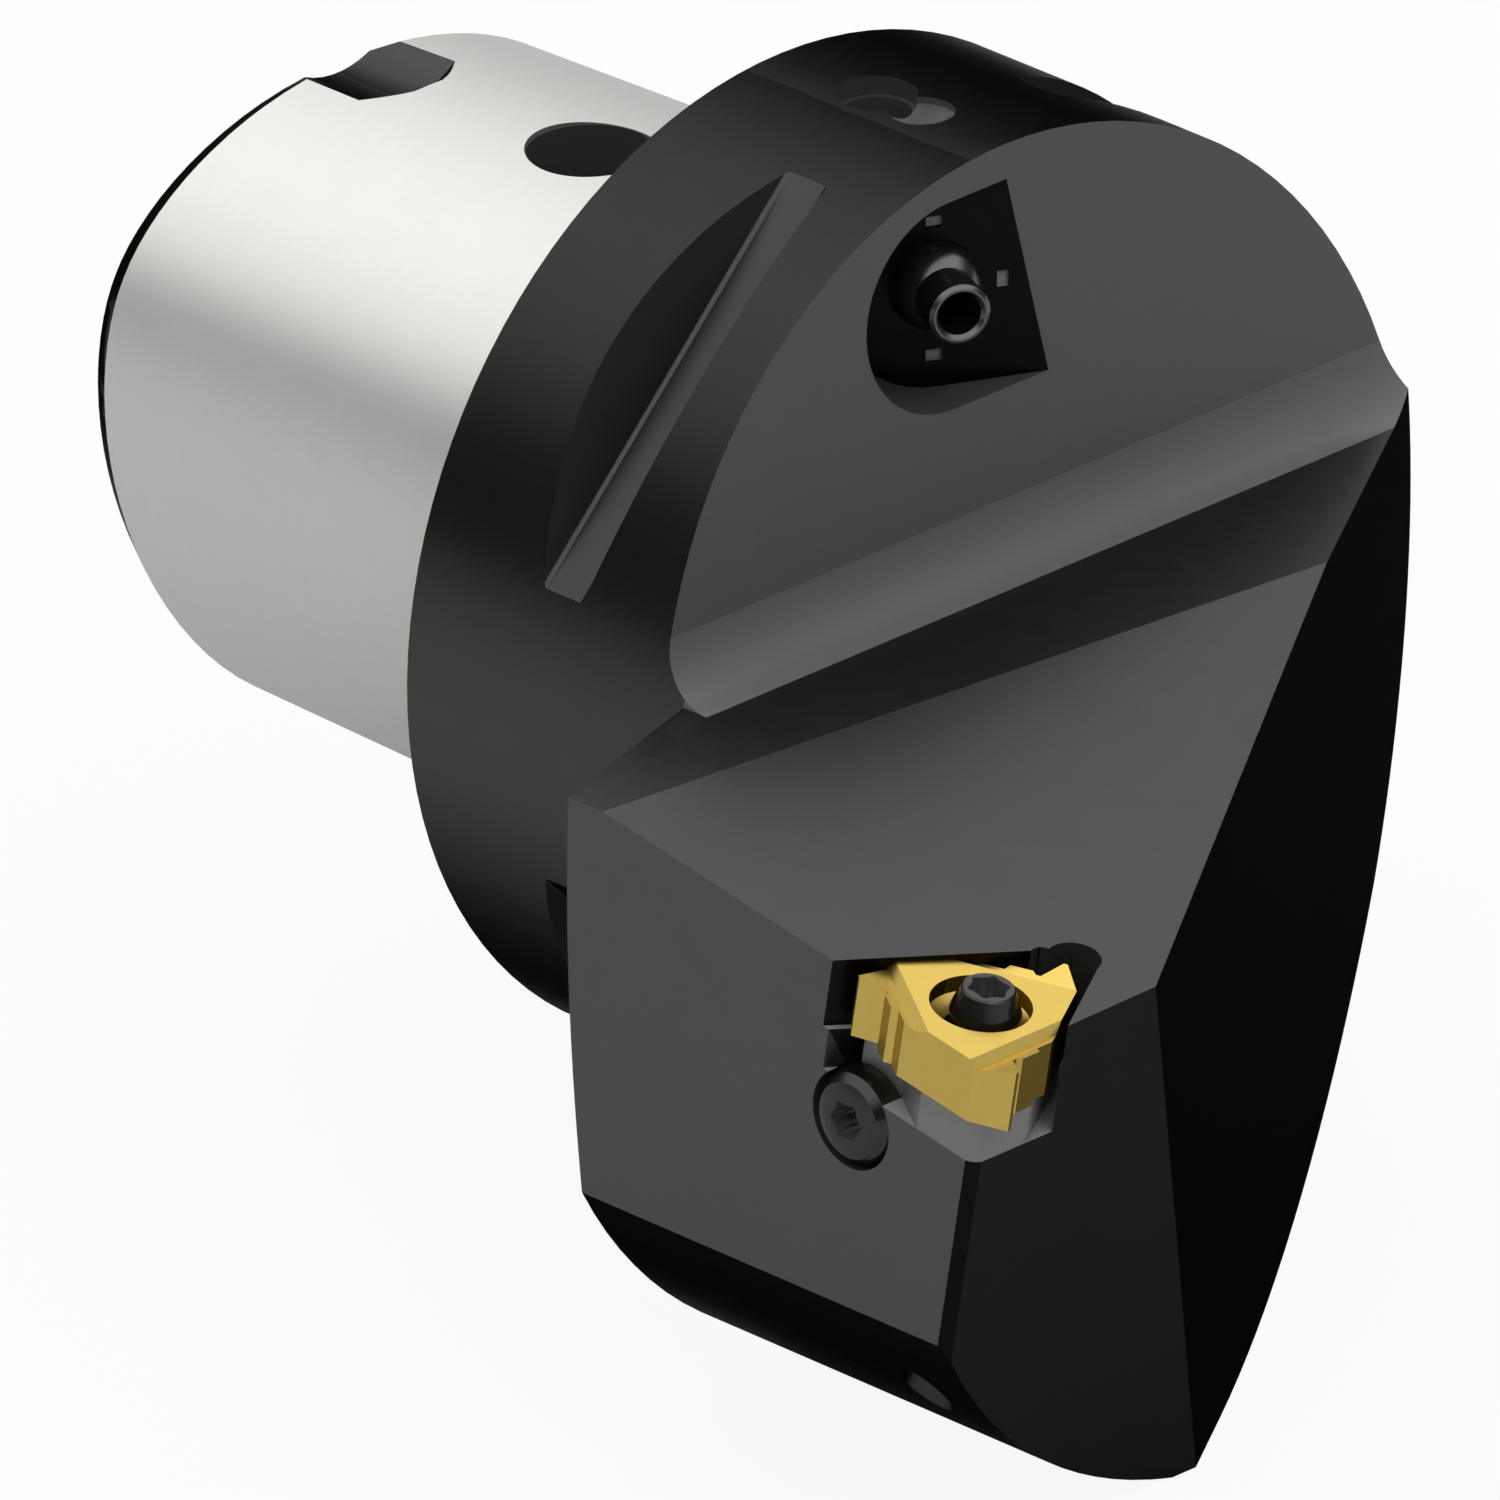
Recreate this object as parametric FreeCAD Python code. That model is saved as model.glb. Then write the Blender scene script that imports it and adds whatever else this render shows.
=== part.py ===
import FreeCAD, Part
import os
from math import cos, radians, sin, sqrt, tan

from FreeCAD import Placement, Rotation, Vector

# Threading tool holder with a polygon taper coupling, millimetres, +Z up.
# Origin: centre of the flange contact face on the tool axis; +X runs from
# the shank towards the cutting end.

# flange and neck
FLANGE_R = 40.0
FRONT_X = 27.373          # front face of the neck at Z = 0
FRONT_LEAN = 0.0897       # the face leans back by this much per mm of Z
TOP_Z = 7.7               # top plane of the cutting head
TOP_FILLET_R = 5.0        # hollow between the front face and the top plane
CONTACT_GROOVE_R = 31.4   # root groove between shank and contact face
CONTACT_GROOVE_DEPTH = 0.6

# gripper grooves on the flange
SLOT_ANGLES = (45, 135, 225, 315)
SLOT_FLOOR = 35.5         # distance of the flat floor from the axis
SLOT_FLOOR_X0 = 12.9
SLOT_FLOOR_X1 = 16.95
SLOT_REAR_ANGLE = 30.5
SLOT_FRONT_ANGLE = 30.5
SLOT_CORNER_R = 0.5

# orientation holes on top of the flange
CODE_X = 10.2
CODE_R = 3.15
CODE_DEPTH = 1.6
CODE_INNER_R = 2.65
CODE_INNER_DEPTH = 5.6
MARK_X = 15.0
MARK_R = 2.55
MARK_DEPTH = 0.6
DRILL_POINT_ANGLE = 118.0

# polygon taper shank: support function h = R - e cos 3a
SHANK_LENGTH = 48.0
SHANK_R = 27.9
SHANK_E = 1.75
SHANK_TAPER = 0.025       # radius lost per mm of length
SHANK_CHAMFER_LENGTH = 1.8
SHANK_CHAMFER_DROP = 1.0
PROFILE_ARCS = 6          # patches around the polygon, one of them centred on top
ARC_STEPS = 4
SIDE_HOLE_R = 5.0
SIDE_HOLE_X = -20.4
SIDE_HOLE_CHAMFER = 0.4
NOTCH_R = 8.45
NOTCH_AXIS_Z = 31.5
NOTCH_END_X = -40.4
NOTCH_TIP_X = -38.0
NOTCH_TIP_R = 6.5

# draw-in bore inside the shank
BORE_R = 17.0
BORE_CHAMFER = 1.5
BORE_END_X = -12.0
CLAMP_GROOVE_R = 20.0
CLAMP_GROOVE_X0 = -37.0
CLAMP_GROOVE_X1 = -27.5
CLAMP_GROOVE_FLANK = 3.0
DRAW_THREAD_R = 10.0
DRAW_THREAD_END_X = 8.0
COOLANT_CHAMBER_R = 4.0
COOLANT_CHAMBER_END_X = 16.0
COOLANT_DUCT_R = 2.0

# cutting head
LEFT_Y = -56.5
LEFT_EDGE_Z = -24.6       # lower end of the left facet
UNDER_LEFT_R = 45.0
UNDER_DROP = 6.1          # the underside hangs this far below the flange
FLAT_START_Y = -28.44
FLAT_END_Y = -18.5
UNDER_RIGHT_R = 70.1
UNDER_JOIN_ANGLE = -43.6  # where the right-hand arc runs into the flange circle
RAMP_NORMAL = Vector(0.1708, -0.0174, 0.9851)
RAMP_DISTANCE = 14.984
FRONT_FACET_X = 78.1
FRONT_FACET_ANGLE = 10.0
SIDE_FACET_ANGLE = 32.61
SIDE_FACET_DISTANCE = 44.97
RIDGE_CHAMFER = 0.85
REAR_CONE_X = 28.8
REAR_CONE_SLOPE = 0.30

# insert seat frame
SEAT_TILT = 10.0
SEAT_X = 71.9
SEAT_Z = 1.43
INSERT_SIDE = 6.1         # inscribed radius of the insert's side faces
INSERT_THICKNESS = 5.2
SHIM_THICKNESS = 3.7
SEAT_DEPTH = INSERT_THICKNESS + SHIM_THICKNESS
SEAT_CLEARANCE = 0.02
SHIM_WALL = 5.6
LEDGE_DEPTH = 5.5
SEAT_RIGHT_WALL = 6.9
RELIEF_CENTRE = (0.01, 9.73)
RELIEF_R = 2.1
LOBE_CENTRE = (-1.73, 8.18)
LOBE_R = 0.95

# insert
TOOTH_TIP = (8.57, -4.35)
TOOTH_NOSE_R = 0.3
VALLEY = (6.45, -2.95)    # foot of the tooth's far flank
VALLEY_WIDTH = 0.35
CREST_X = 6.8
CREST_START_Y = -2.25
CREST_END_Y = -0.5
STEP_X = 6.25
STEP_RUN = 0.3
LAND_END_X = 5.0
RAKE_START_X = 5.65
RAKE_DEPTH = 0.62
INSERT_HOLE_R = 3.92
INSERT_HOLE_STRAIGHT = 1.35
INSERT_HOLE_SMALL_R = 2.8
INSERT_CONE_END = 2.35

# insert screw
SCREW_OFFSET = 0.43       # axis set off towards the corner relief, so it pulls the insert in
SCREW_TOP = 1.45
SCREW_TOP_R = 2.1
SCREW_BASE = -0.6
SCREW_BASE_R = 2.78
SCREW_SEAT = -2.3
SCREW_SEAT_R = 2.3
SCREW_EDGE = 0.15
SCREW_THREAD_R = 2.25
SCREW_LENGTH = 16.0
SOCKET_R = 1.63
SOCKET_LOBE_R = 0.42
SOCKET_DEPTH = 1.9
THREAD_POINT = 0.5
TAPPED_CLEARANCE = 0.08
THROUGH_HOLE_R = 2.15

# shim
SHIM_SIDE = 5.1
SHIM_FRONT_SIDE = 5.5      # the flank beside the side facet
SHIM_LEFT_Y = -5.55
SHIM_RECESS_Y = -3.4      # flank set back where the side screw's rim bears
SHIM_RECESS_X = -3.5
SHIM_SLANT_X = 0.3
SHIM_FRONT_X = 6.35
SHIM_NOSE_R = 1.15
SHIM_SHOULDER_R = 3.0
SHIM_TOP_CUT = 2.3
SHIM_HOLE_R = 2.9

# shim screw
SIDE_SCREW_BACK = 8.15    # behind the seat's centre
SIDE_SCREW_Z = -9.0
SIDE_SCREW_RECESS_R = 4.0
SIDE_SCREW_RECESS_DEPTH = 2.15
SIDE_SCREW_R = 3.85
SIDE_SCREW_FACE_R = 2.25
SIDE_SCREW_PROUD = 0.5    # the head's face stands out of the facet
SIDE_SCREW_DOME = 1.7
DOME_STEPS = 3
SIDE_SCREW_RIM = 0.9
SIDE_SCREW_THREAD_R = 2.0
SIDE_SCREW_LENGTH = 9.0
SIDE_SOCKET_DEPTH = 1.5

# coolant nozzle and its pocket
NOZZLE_X = 21.53
NOZZLE_Y = -5.28
NOZZLE_Z = 29.39
NOZZLE_ANGLE = -25.6      # towards the insert's tip
POCKET_R = 8.18
POCKET_SHIFT = 0.15       # centre of the round end beyond the ball
POCKET_DROP = 0.34        # and below it
BALL_R = 3.55
BALL_BACK = 2.5           # flat rear end of the ball
BALL_FLARE = 0.6
BALL_CLEARANCE = 0.05
BALL_SEAT_ANGLE = 45.0    # half angle of the cone the ball rests in
TUBE_ROOT_R = 2.62
TUBE_R = 2.44
TUBE_BORE_R = 1.7
TUBE_LENGTH = 6.1
TUBE_CHAMFER = 0.28
STAKE_RADIUS = 5.5
STAKE_SIZE = (1.3, 0.9, 0.3)

X_AXIS = Vector(1, 0, 0)
Y_AXIS = Vector(0, 1, 0)
Z_AXIS = Vector(0, 0, 1)
SEAT_CENTRE = Vector(SEAT_X, LEFT_Y - SHIM_LEFT_Y, SEAT_Z)
SEAT_PLACEMENT = Placement(SEAT_CENTRE, Rotation(Y_AXIS, SEAT_TILT))
TOUCH = 0.001              # a point nearer than this lies on an edge
NOZZLE_CENTRE = Vector(NOZZLE_X, NOZZLE_Y, NOZZLE_Z)
NOZZLE_DIRECTION = Vector(cos(radians(NOZZLE_ANGLE)), sin(radians(NOZZLE_ANGLE)), 0)
SIDE_SCREW_X = SEAT_X - SIDE_SCREW_BACK
SCREW_AXIS = Vector(cos(radians(60)), sin(radians(60)), 0) * SCREW_OFFSET
BIG = 200.0               # longer than anything it cuts


def save(shape, node):
    """Write one node after checking it."""
    shape = shape.removeSplitter()
    if not shape.isValid():
        raise RuntimeError(node + " is not a valid solid")
    os.makedirs("parts", exist_ok=True)
    shape.exportStep("parts/" + node + ".step")
    print(node, len(shape.Solids), round(shape.Volume, 1))


def face_of(points):
    """Plane face from a closed list of points."""
    ring = [Vector(*p) for p in points]
    ring.append(ring[0])
    return Part.Face(Part.makePolygon(ring))


def arc(a, b, c):
    """Circular arc from a through b to c."""
    return Part.Arc(Vector(*a), Vector(*b), Vector(*c)).toShape()


def line(a, b):
    return Part.makeLine(Vector(*a), Vector(*b))


def revolved(points):
    """Solid of revolution about X from (x, r) points."""
    ring = [(x, 0, r) for x, r in points]
    return face_of(ring).revolve(Vector(0, 0, 0), X_AXIS, 360)


def half_space(normal, distance):
    """Large block filling the side n.P >= distance."""
    unit = Vector(normal)
    unit.normalize()
    block = Part.makeBox(BIG, BIG, BIG, Vector(-BIG / 2, -BIG / 2, 0))
    block.Placement = Placement(unit * distance, Rotation(Z_AXIS, unit))
    return block


def rod(radius, start, direction, length):
    return Part.makeCylinder(radius, length, start, direction)


def cone(radius0, radius1, start, direction, length):
    return Part.makeCone(radius0, radius1, length, start, direction)


def rotated(point, angle):
    """Turn a point of the seat plane about the insert's centre."""
    a = radians(angle)
    x, y = point
    return (x * cos(a) - y * sin(a), x * sin(a) + y * cos(a))


def prism(points, z0, z1):
    """Upright prism between two levels of the seat frame."""
    base = face_of([(x, y, z0) for x, y in points])
    return base.extrude(Vector(0, 0, z1 - z0))


def polygon_point(x, size, angle):
    """Point of the polygon profile whose outward normal stands at an angle."""
    a = radians(angle)
    t = 3 * (a - radians(90))
    h = size - SHANK_E * cos(t)
    slope = 3 * SHANK_E * sin(t)
    return Vector(x, h * cos(a) - slope * sin(a), h * sin(a) + slope * cos(a))


def polygon_slope(size, turn):
    """Rate at which the profile's point moves with its normal's turn in radians."""
    radius = size + 8 * SHANK_E * cos(3 * (turn - radians(90)))
    return Vector(0, -sin(turn), cos(turn)) * radius


def polygon_ring(x, offset=0.0):
    """Closed polygon profile of the shank at station x, in tangent patches."""
    size = SHANK_R + SHANK_TAPER * x - offset
    span = 360.0 / PROFILE_ARCS
    edges = []
    for i in range(PROFILE_ARCS):
        start = 90 - span / 2 + span * i
        points = [polygon_point(x, size, start + span * k / ARC_STEPS)
                  for k in range(ARC_STEPS + 1)]
        turns = [radians(start + span * k / ARC_STEPS) for k in range(ARC_STEPS + 1)]
        first, last = (polygon_slope(size, a) for a in (turns[0], turns[-1]))
        curve = Part.BSplineCurve()
        curve.interpolate(Points=points, Parameters=turns, InitialTangent=first,
                          FinalTangent=last, Scale=False)
        edges.append(curve.toShape())
    return Part.Wire(edges)


def polygon_shank():
    """Tapered three-lobed shank with its chamfered rear end."""
    chamfer_x = SHANK_CHAMFER_LENGTH - SHANK_LENGTH
    root_x = CONTACT_GROOVE_DEPTH + 1
    front = Part.makeLoft([polygon_ring(root_x), polygon_ring(chamfer_x)], True, True)
    rear = Part.makeLoft([polygon_ring(chamfer_x),
                          polygon_ring(-SHANK_LENGTH, SHANK_CHAMFER_DROP)], True, True)
    return front.fuse(rear)


def shank_cuts():
    """Draw-in bore, clamping groove, draw thread, side hole and rear notch."""
    bore = revolved([
        (-SHANK_LENGTH - 1, 0),
        (-SHANK_LENGTH - 1, BORE_R + BORE_CHAMFER + 1),
        (-SHANK_LENGTH, BORE_R + BORE_CHAMFER),
        (-SHANK_LENGTH + BORE_CHAMFER, BORE_R),
        (CLAMP_GROOVE_X0, BORE_R),
        (CLAMP_GROOVE_X0 + CLAMP_GROOVE_FLANK, CLAMP_GROOVE_R),
        (CLAMP_GROOVE_X1 - CLAMP_GROOVE_FLANK, CLAMP_GROOVE_R),
        (CLAMP_GROOVE_X1, BORE_R),
        (BORE_END_X, BORE_R),
        (BORE_END_X, DRAW_THREAD_R + 1),
        (BORE_END_X + 1, DRAW_THREAD_R),
        (DRAW_THREAD_END_X, DRAW_THREAD_R),
        (DRAW_THREAD_END_X + DRAW_THREAD_R - COOLANT_CHAMBER_R, COOLANT_CHAMBER_R),
        (COOLANT_CHAMBER_END_X, COOLANT_CHAMBER_R),
        (COOLANT_CHAMBER_END_X + COOLANT_CHAMBER_R * 0.6, 0),
    ])
    top_z = SHANK_R + SHANK_TAPER * SIDE_HOLE_X - SHANK_E
    side_hole = rod(SIDE_HOLE_R, Vector(SIDE_HOLE_X, 0, 0), Z_AXIS, SHANK_R + 5)
    rim = cone(SIDE_HOLE_R, SIDE_HOLE_R + 2, Vector(SIDE_HOLE_X, 0, top_z - SIDE_HOLE_CHAMFER),
               Z_AXIS, 2)
    notch_axis = Vector(-SHANK_LENGTH - 1, 0, NOTCH_AXIS_Z)
    notch = rod(NOTCH_R, notch_axis, X_AXIS, NOTCH_END_X + SHANK_LENGTH + 1)
    notch_tip = cone(NOTCH_R, NOTCH_TIP_R, Vector(NOTCH_END_X, 0, NOTCH_AXIS_Z), X_AXIS,
                     NOTCH_TIP_X - NOTCH_END_X)
    return [bore, side_hole.fuse(rim), notch.fuse(notch_tip)]


def gripper_slot(angle):
    """Trapezoid groove cut square across the flange rim."""
    rim = FLANGE_R + 2
    rise = rim - SLOT_FLOOR
    section = face_of([
        (SLOT_FLOOR_X0, -BIG / 4, SLOT_FLOOR),
        (SLOT_FLOOR_X1, -BIG / 4, SLOT_FLOOR),
        (SLOT_FLOOR_X1 + rise * tan(radians(SLOT_FRONT_ANGLE)), -BIG / 4, rim),
        (SLOT_FLOOR_X0 - rise * tan(radians(SLOT_REAR_ANGLE)), -BIG / 4, rim),
    ])
    slot = section.extrude(Vector(0, BIG / 2, 0))
    corners = [e for e in slot.Edges if abs(e.Length - BIG / 2) < 1
               and abs(e.CenterOfMass.z - SLOT_FLOOR) < 0.01]
    slot = slot.makeFillet(SLOT_CORNER_R, corners)
    slot.rotate(Vector(0, 0, 0), X_AXIS, angle - 90)
    return slot


def flange_holes():
    """Stepped orientation hole and the drilled mark beside it."""
    down = Vector(0, 0, -1)
    top = FLANGE_R + 1
    outer = rod(CODE_R, Vector(CODE_X, 0, top), down, CODE_DEPTH + 1)
    inner = rod(CODE_INNER_R, Vector(CODE_X, 0, top), down, CODE_INNER_DEPTH + 1)
    mark = rod(MARK_R, Vector(MARK_X, 0, top), down, MARK_DEPTH + 1)
    point = cone(MARK_R, 0, Vector(MARK_X, 0, top - MARK_DEPTH - 1), down,
                 MARK_R / tan(radians(DRILL_POINT_ANGLE / 2)))
    return outer.fuse([inner, mark, point])


def front_cutter():
    """Everything in front of the neck face and above the top plane."""
    y = -BIG / 2
    lean = sqrt(1 + FRONT_LEAN ** 2)
    centre_z = TOP_Z + TOP_FILLET_R
    centre_x = FRONT_X - FRONT_LEAN * centre_z + TOP_FILLET_R * lean
    start = (centre_x - TOP_FILLET_R / lean, y, centre_z - TOP_FILLET_R * FRONT_LEAN / lean)
    middle = (centre_x - TOP_FILLET_R * sin(radians(45)), y,
              centre_z - TOP_FILLET_R * cos(radians(45)))
    end = (centre_x, y, TOP_Z)
    high = FLANGE_R + 10
    corner = (FRONT_X - FRONT_LEAN * high, y, high)
    wire = Part.Wire([
        line(corner, start),
        arc(start, middle, end),
        line(end, (BIG / 2, y, TOP_Z)),
        line((BIG / 2, y, TOP_Z), (BIG / 2, y, high)),
        line((BIG / 2, y, high), corner),
    ])
    return Part.Face(wire).extrude(Vector(0, BIG, 0))


def bulged(a, b, radius):
    """Outward arc of a given radius between two (y, z) points, as a point on it."""
    chord_y = b[0] - a[0]
    chord_z = b[1] - a[1]
    chord = sqrt(chord_y ** 2 + chord_z ** 2)
    sagitta = radius - sqrt(radius ** 2 - chord ** 2 / 4)
    return ((a[0] + b[0]) / 2 + chord_z / chord * sagitta,
            (a[1] + b[1]) / 2 - chord_y / chord * sagitta)


def head_section():
    """Outline of the cutting head seen along the tool axis."""
    bottom = -FLANGE_R - UNDER_DROP
    edge = (LEFT_Y, LEFT_EDGE_Z)
    flat_start = (FLAT_START_Y, bottom)
    flat_end = (FLAT_END_Y, bottom)
    turn = radians(UNDER_JOIN_ANGLE)
    join = (FLANGE_R * cos(turn), FLANGE_R * sin(turn))
    side = (sqrt(FLANGE_R ** 2 - TOP_Z ** 2), TOP_Z)
    left_mid = bulged(edge, flat_start, UNDER_LEFT_R)
    right_mid = bulged(flat_end, join, UNDER_RIGHT_R)
    side_mid = bulged(join, side, FLANGE_R)
    wire = Part.Wire([
        line((0, LEFT_Y, TOP_Z), (0, *edge)),
        arc((0, *edge), (0, *left_mid), (0, *flat_start)),
        line((0, *flat_start), (0, *flat_end)),
        arc((0, *flat_end), (0, *right_mid), (0, *join)),
        arc((0, *join), (0, *side_mid), (0, *side)),
        line((0, *side), (0, LEFT_Y, TOP_Z)),
    ])
    return Part.Face(wire)


def side_facet():
    """Material removed by the long slanting facet on the right."""
    side = radians(SIDE_FACET_ANGLE)
    return half_space(Vector(cos(side), sin(side), 0), SIDE_FACET_DISTANCE)


def cutting_head():
    """Faceted head before the insert seat is cut."""
    start = FRONT_X - TOP_FILLET_R
    section = head_section()
    section.translate(Vector(start, 0, 0))
    head = section.extrude(Vector(BIG / 2 - start, 0, 0))
    wide = FLANGE_R * 2
    behind = revolved([
        (start - 1, FLANGE_R), (REAR_CONE_X, FLANGE_R),
        (REAR_CONE_X + REAR_CONE_SLOPE * (wide - FLANGE_R), wide), (start - 1, wide),
    ])
    tilt = radians(FRONT_FACET_ANGLE)
    front_normal = Vector(cos(tilt), 0, -sin(tilt))
    front_distance = FRONT_FACET_X * cos(tilt)
    ridge_normal = front_normal + Vector(0, -1, 0)
    ridge = (front_distance - LEFT_Y - RIDGE_CHAMFER) / ridge_normal.Length
    return head.cut([
        behind,
        half_space(RAMP_NORMAL, RAMP_DISTANCE / RAMP_NORMAL.Length),
        half_space(front_normal, front_distance),
        side_facet(),
        half_space(ridge_normal, ridge),
    ])


def on_wall(distance, y):
    """Point of the seat's back wall (outward normal at 150 degrees)."""
    return ((distance - y * sin(radians(150))) / cos(radians(150)), y)


def seat_pocket(wall, bottom, top):
    """Open pocket whose back wall stands at the given distance."""
    far = 30.0
    hole_x, hole_y = RELIEF_CENTRE
    tangent = (hole_x + RELIEF_R * cos(radians(30)), hole_y + RELIEF_R * sin(radians(30)))
    right = ((SEAT_RIGHT_WALL - tangent[1] * sin(radians(30))) / cos(radians(30)), tangent[1])
    low_right = ((SEAT_RIGHT_WALL + far * sin(radians(30))) / cos(radians(30)), -far)
    offset = hole_x * cos(radians(150)) + hole_y * sin(radians(150))
    half = sqrt(RELIEF_R ** 2 - (wall - offset) ** 2)
    along = hole_x * cos(radians(60)) + hole_y * sin(radians(60)) - half
    meet = (wall * cos(radians(150)) + along * cos(radians(60)),
            wall * sin(radians(150)) + along * sin(radians(60)))
    outline = [on_wall(wall, -far), low_right, right, RELIEF_CENTRE, meet]
    return prism(outline, bottom, top)


def insert_seat():
    """Seat for the shim and insert, with its corner reliefs, in world frame."""
    above = 25.0
    floor = -SEAT_DEPTH
    seat = seat_pocket(INSERT_SIDE + SEAT_CLEARANCE, -LEDGE_DEPTH, above)
    lower = seat_pocket(SHIM_WALL, floor, -LEDGE_DEPTH + 1)
    relief = rod(RELIEF_R, Vector(*RELIEF_CENTRE, floor), Z_AXIS, above - floor)
    lobe = rod(LOBE_R, Vector(*LOBE_CENTRE, floor), Z_AXIS, above - floor)
    thread = rod(SCREW_THREAD_R + TAPPED_CLEARANCE, SCREW_AXIS - Z_AXIS * (SCREW_LENGTH + 1),
                 Z_AXIS, SCREW_LENGTH)
    through = rod(THROUGH_HOLE_R, SCREW_AXIS - Z_AXIS * BIG / 2, Z_AXIS,
                  BIG / 2 - SCREW_LENGTH)
    seat = seat.fuse([lower, relief, lobe, thread, through])
    seat.Placement = SEAT_PLACEMENT
    return seat


def side_screw_hole():
    """Recess and blind tapped hole for the shim screw."""
    mouth = Vector(SIDE_SCREW_X, LEFT_Y - 1, SIDE_SCREW_Z)
    recess = rod(SIDE_SCREW_RECESS_R, mouth, Y_AXIS, SIDE_SCREW_RECESS_DEPTH + 1)
    thread = rod(SIDE_SCREW_THREAD_R + TAPPED_CLEARANCE, mouth, Y_AXIS,
                 SIDE_SCREW_RECESS_DEPTH + SIDE_SCREW_LENGTH + 2)
    return recess.fuse(thread)


def nozzle_pocket():
    """Round-ended pocket across the neck, ball socket, stake marks and duct."""
    c = NOZZLE_CENTRE
    out = NOZZLE_DIRECTION
    across = Vector(-out.y, out.x, 0)
    middle = c - Z_AXIS * POCKET_DROP
    round_end = rod(POCKET_R, middle + across * POCKET_SHIFT, out, BIG / 4)
    width = 2 * POCKET_R
    tray = Part.makeBox(BIG / 4, BIG / 4, width, Vector(0, 0, -width / 2))
    turn = Rotation(out, across, Z_AXIS, "XYZ")
    tray.Placement = Placement(middle + across * POCKET_SHIFT, turn)
    bore_r = BALL_R + BALL_CLEARANCE
    half = radians(BALL_SEAT_ANGLE)
    apex = bore_r / sin(half)
    shoulder = bore_r / tan(half)
    straight = apex - shoulder
    socket = rod(bore_r, c - out * straight, out, straight + 1)
    seat = cone(0, bore_r, c - out * apex, out, shoulder)
    target = Vector(COOLANT_CHAMBER_END_X - COOLANT_CHAMBER_R, 0, 0)
    start = c - out * (apex - COOLANT_DUCT_R)
    duct = rod(COOLANT_DUCT_R, start, target - start, (target - start).Length)
    cuts = [tray, socket, seat, duct]
    long_side, short_side, depth = STAKE_SIZE
    for radial in (across, Z_AXIS, Z_AXIS * -1):
        side = out.cross(radial)
        stake = Part.makeBox(short_side, long_side, depth + 1,
                             Vector(-short_side / 2, -long_side / 2, -depth))
        turn = Rotation(radial, side, out, "XYZ")
        stake.Placement = Placement(middle + radial * STAKE_RADIUS, turn)
        cuts.append(stake)
    return round_end.fuse(cuts)


def tool_body():
    """One solid: shank, flange, neck and cutting head."""
    neck = Part.makeCylinder(FLANGE_R, FRONT_X + TOP_FILLET_R, Vector(0, 0, 0), X_AXIS)
    neck = neck.cut(side_facet())
    groove = Part.makeCylinder(CONTACT_GROOVE_R, CONTACT_GROOVE_DEPTH, Vector(0, 0, 0), X_AXIS)
    neck = neck.cut(groove)
    body = neck.fuse([cutting_head(), polygon_shank()])
    cuts = [front_cutter(), flange_holes(), insert_seat(), side_screw_hole(), nozzle_pocket()]
    cuts.extend(gripper_slot(angle) for angle in SLOT_ANGLES)
    cuts.extend(shank_cuts())
    for cut in cuts:
        body = body.cut(cut)
    return body


def tooth_outline():
    """One third of the insert's outline, ending where the next one starts."""
    tip_x, tip_y = TOOTH_TIP
    start = (tip_x + (-INSERT_SIDE - tip_y) / tan(radians(30)), -INSERT_SIDE)
    nose = TOOTH_NOSE_R
    near = (tip_x - nose * cos(radians(30)), tip_y - nose * sin(radians(30)))
    far = (tip_x - nose * cos(radians(30)), tip_y + nose * sin(radians(30)))
    side_y = (INSERT_SIDE - STEP_X * cos(radians(30))) / sin(radians(30))
    return [start, near, far, VALLEY, (VALLEY[0], VALLEY[1] + VALLEY_WIDTH),
            (CREST_X, CREST_START_Y), (CREST_X, CREST_END_Y),
            (STEP_X, CREST_END_Y + STEP_RUN), (STEP_X, side_y)]


def cutting_insert():
    """Three-cornered laydown threading insert."""
    outline = []
    for turn in (0, 120, 240):
        outline.extend(rotated(p, turn) for p in tooth_outline())
    insert = prism(outline, -INSERT_THICKNESS, 0)
    end = 2 * INSERT_SIDE
    rise = RAKE_DEPTH
    groove = face_of([(LAND_END_X, -end, 0), (LAND_END_X, -end, rise),
                      (TOOTH_TIP[0] + 1, -end, rise), (TOOTH_TIP[0], -end, 0),
                      (RAKE_START_X, -end, -RAKE_DEPTH)])
    groove = groove.extrude(Vector(0, 2 * end, 0))
    grooves = []
    for turn in (0, 120, 240):
        copy = groove.copy()
        copy.rotate(Vector(0, 0, 0), Z_AXIS, turn)
        grooves.append(copy)
    top = rod(INSERT_HOLE_R, Vector(0, 0, -INSERT_HOLE_STRAIGHT), Z_AXIS, INSERT_HOLE_STRAIGHT + 1)
    seat = cone(INSERT_HOLE_SMALL_R, INSERT_HOLE_R, Vector(0, 0, -INSERT_CONE_END), Z_AXIS,
                INSERT_CONE_END - INSERT_HOLE_STRAIGHT)
    hole = rod(INSERT_HOLE_SMALL_R, Vector(0, 0, -INSERT_THICKNESS - 1), Z_AXIS,
               INSERT_THICKNESS)
    insert = insert.cut(grooves + [top, seat, hole])
    insert.Placement = SEAT_PLACEMENT
    return insert


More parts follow.
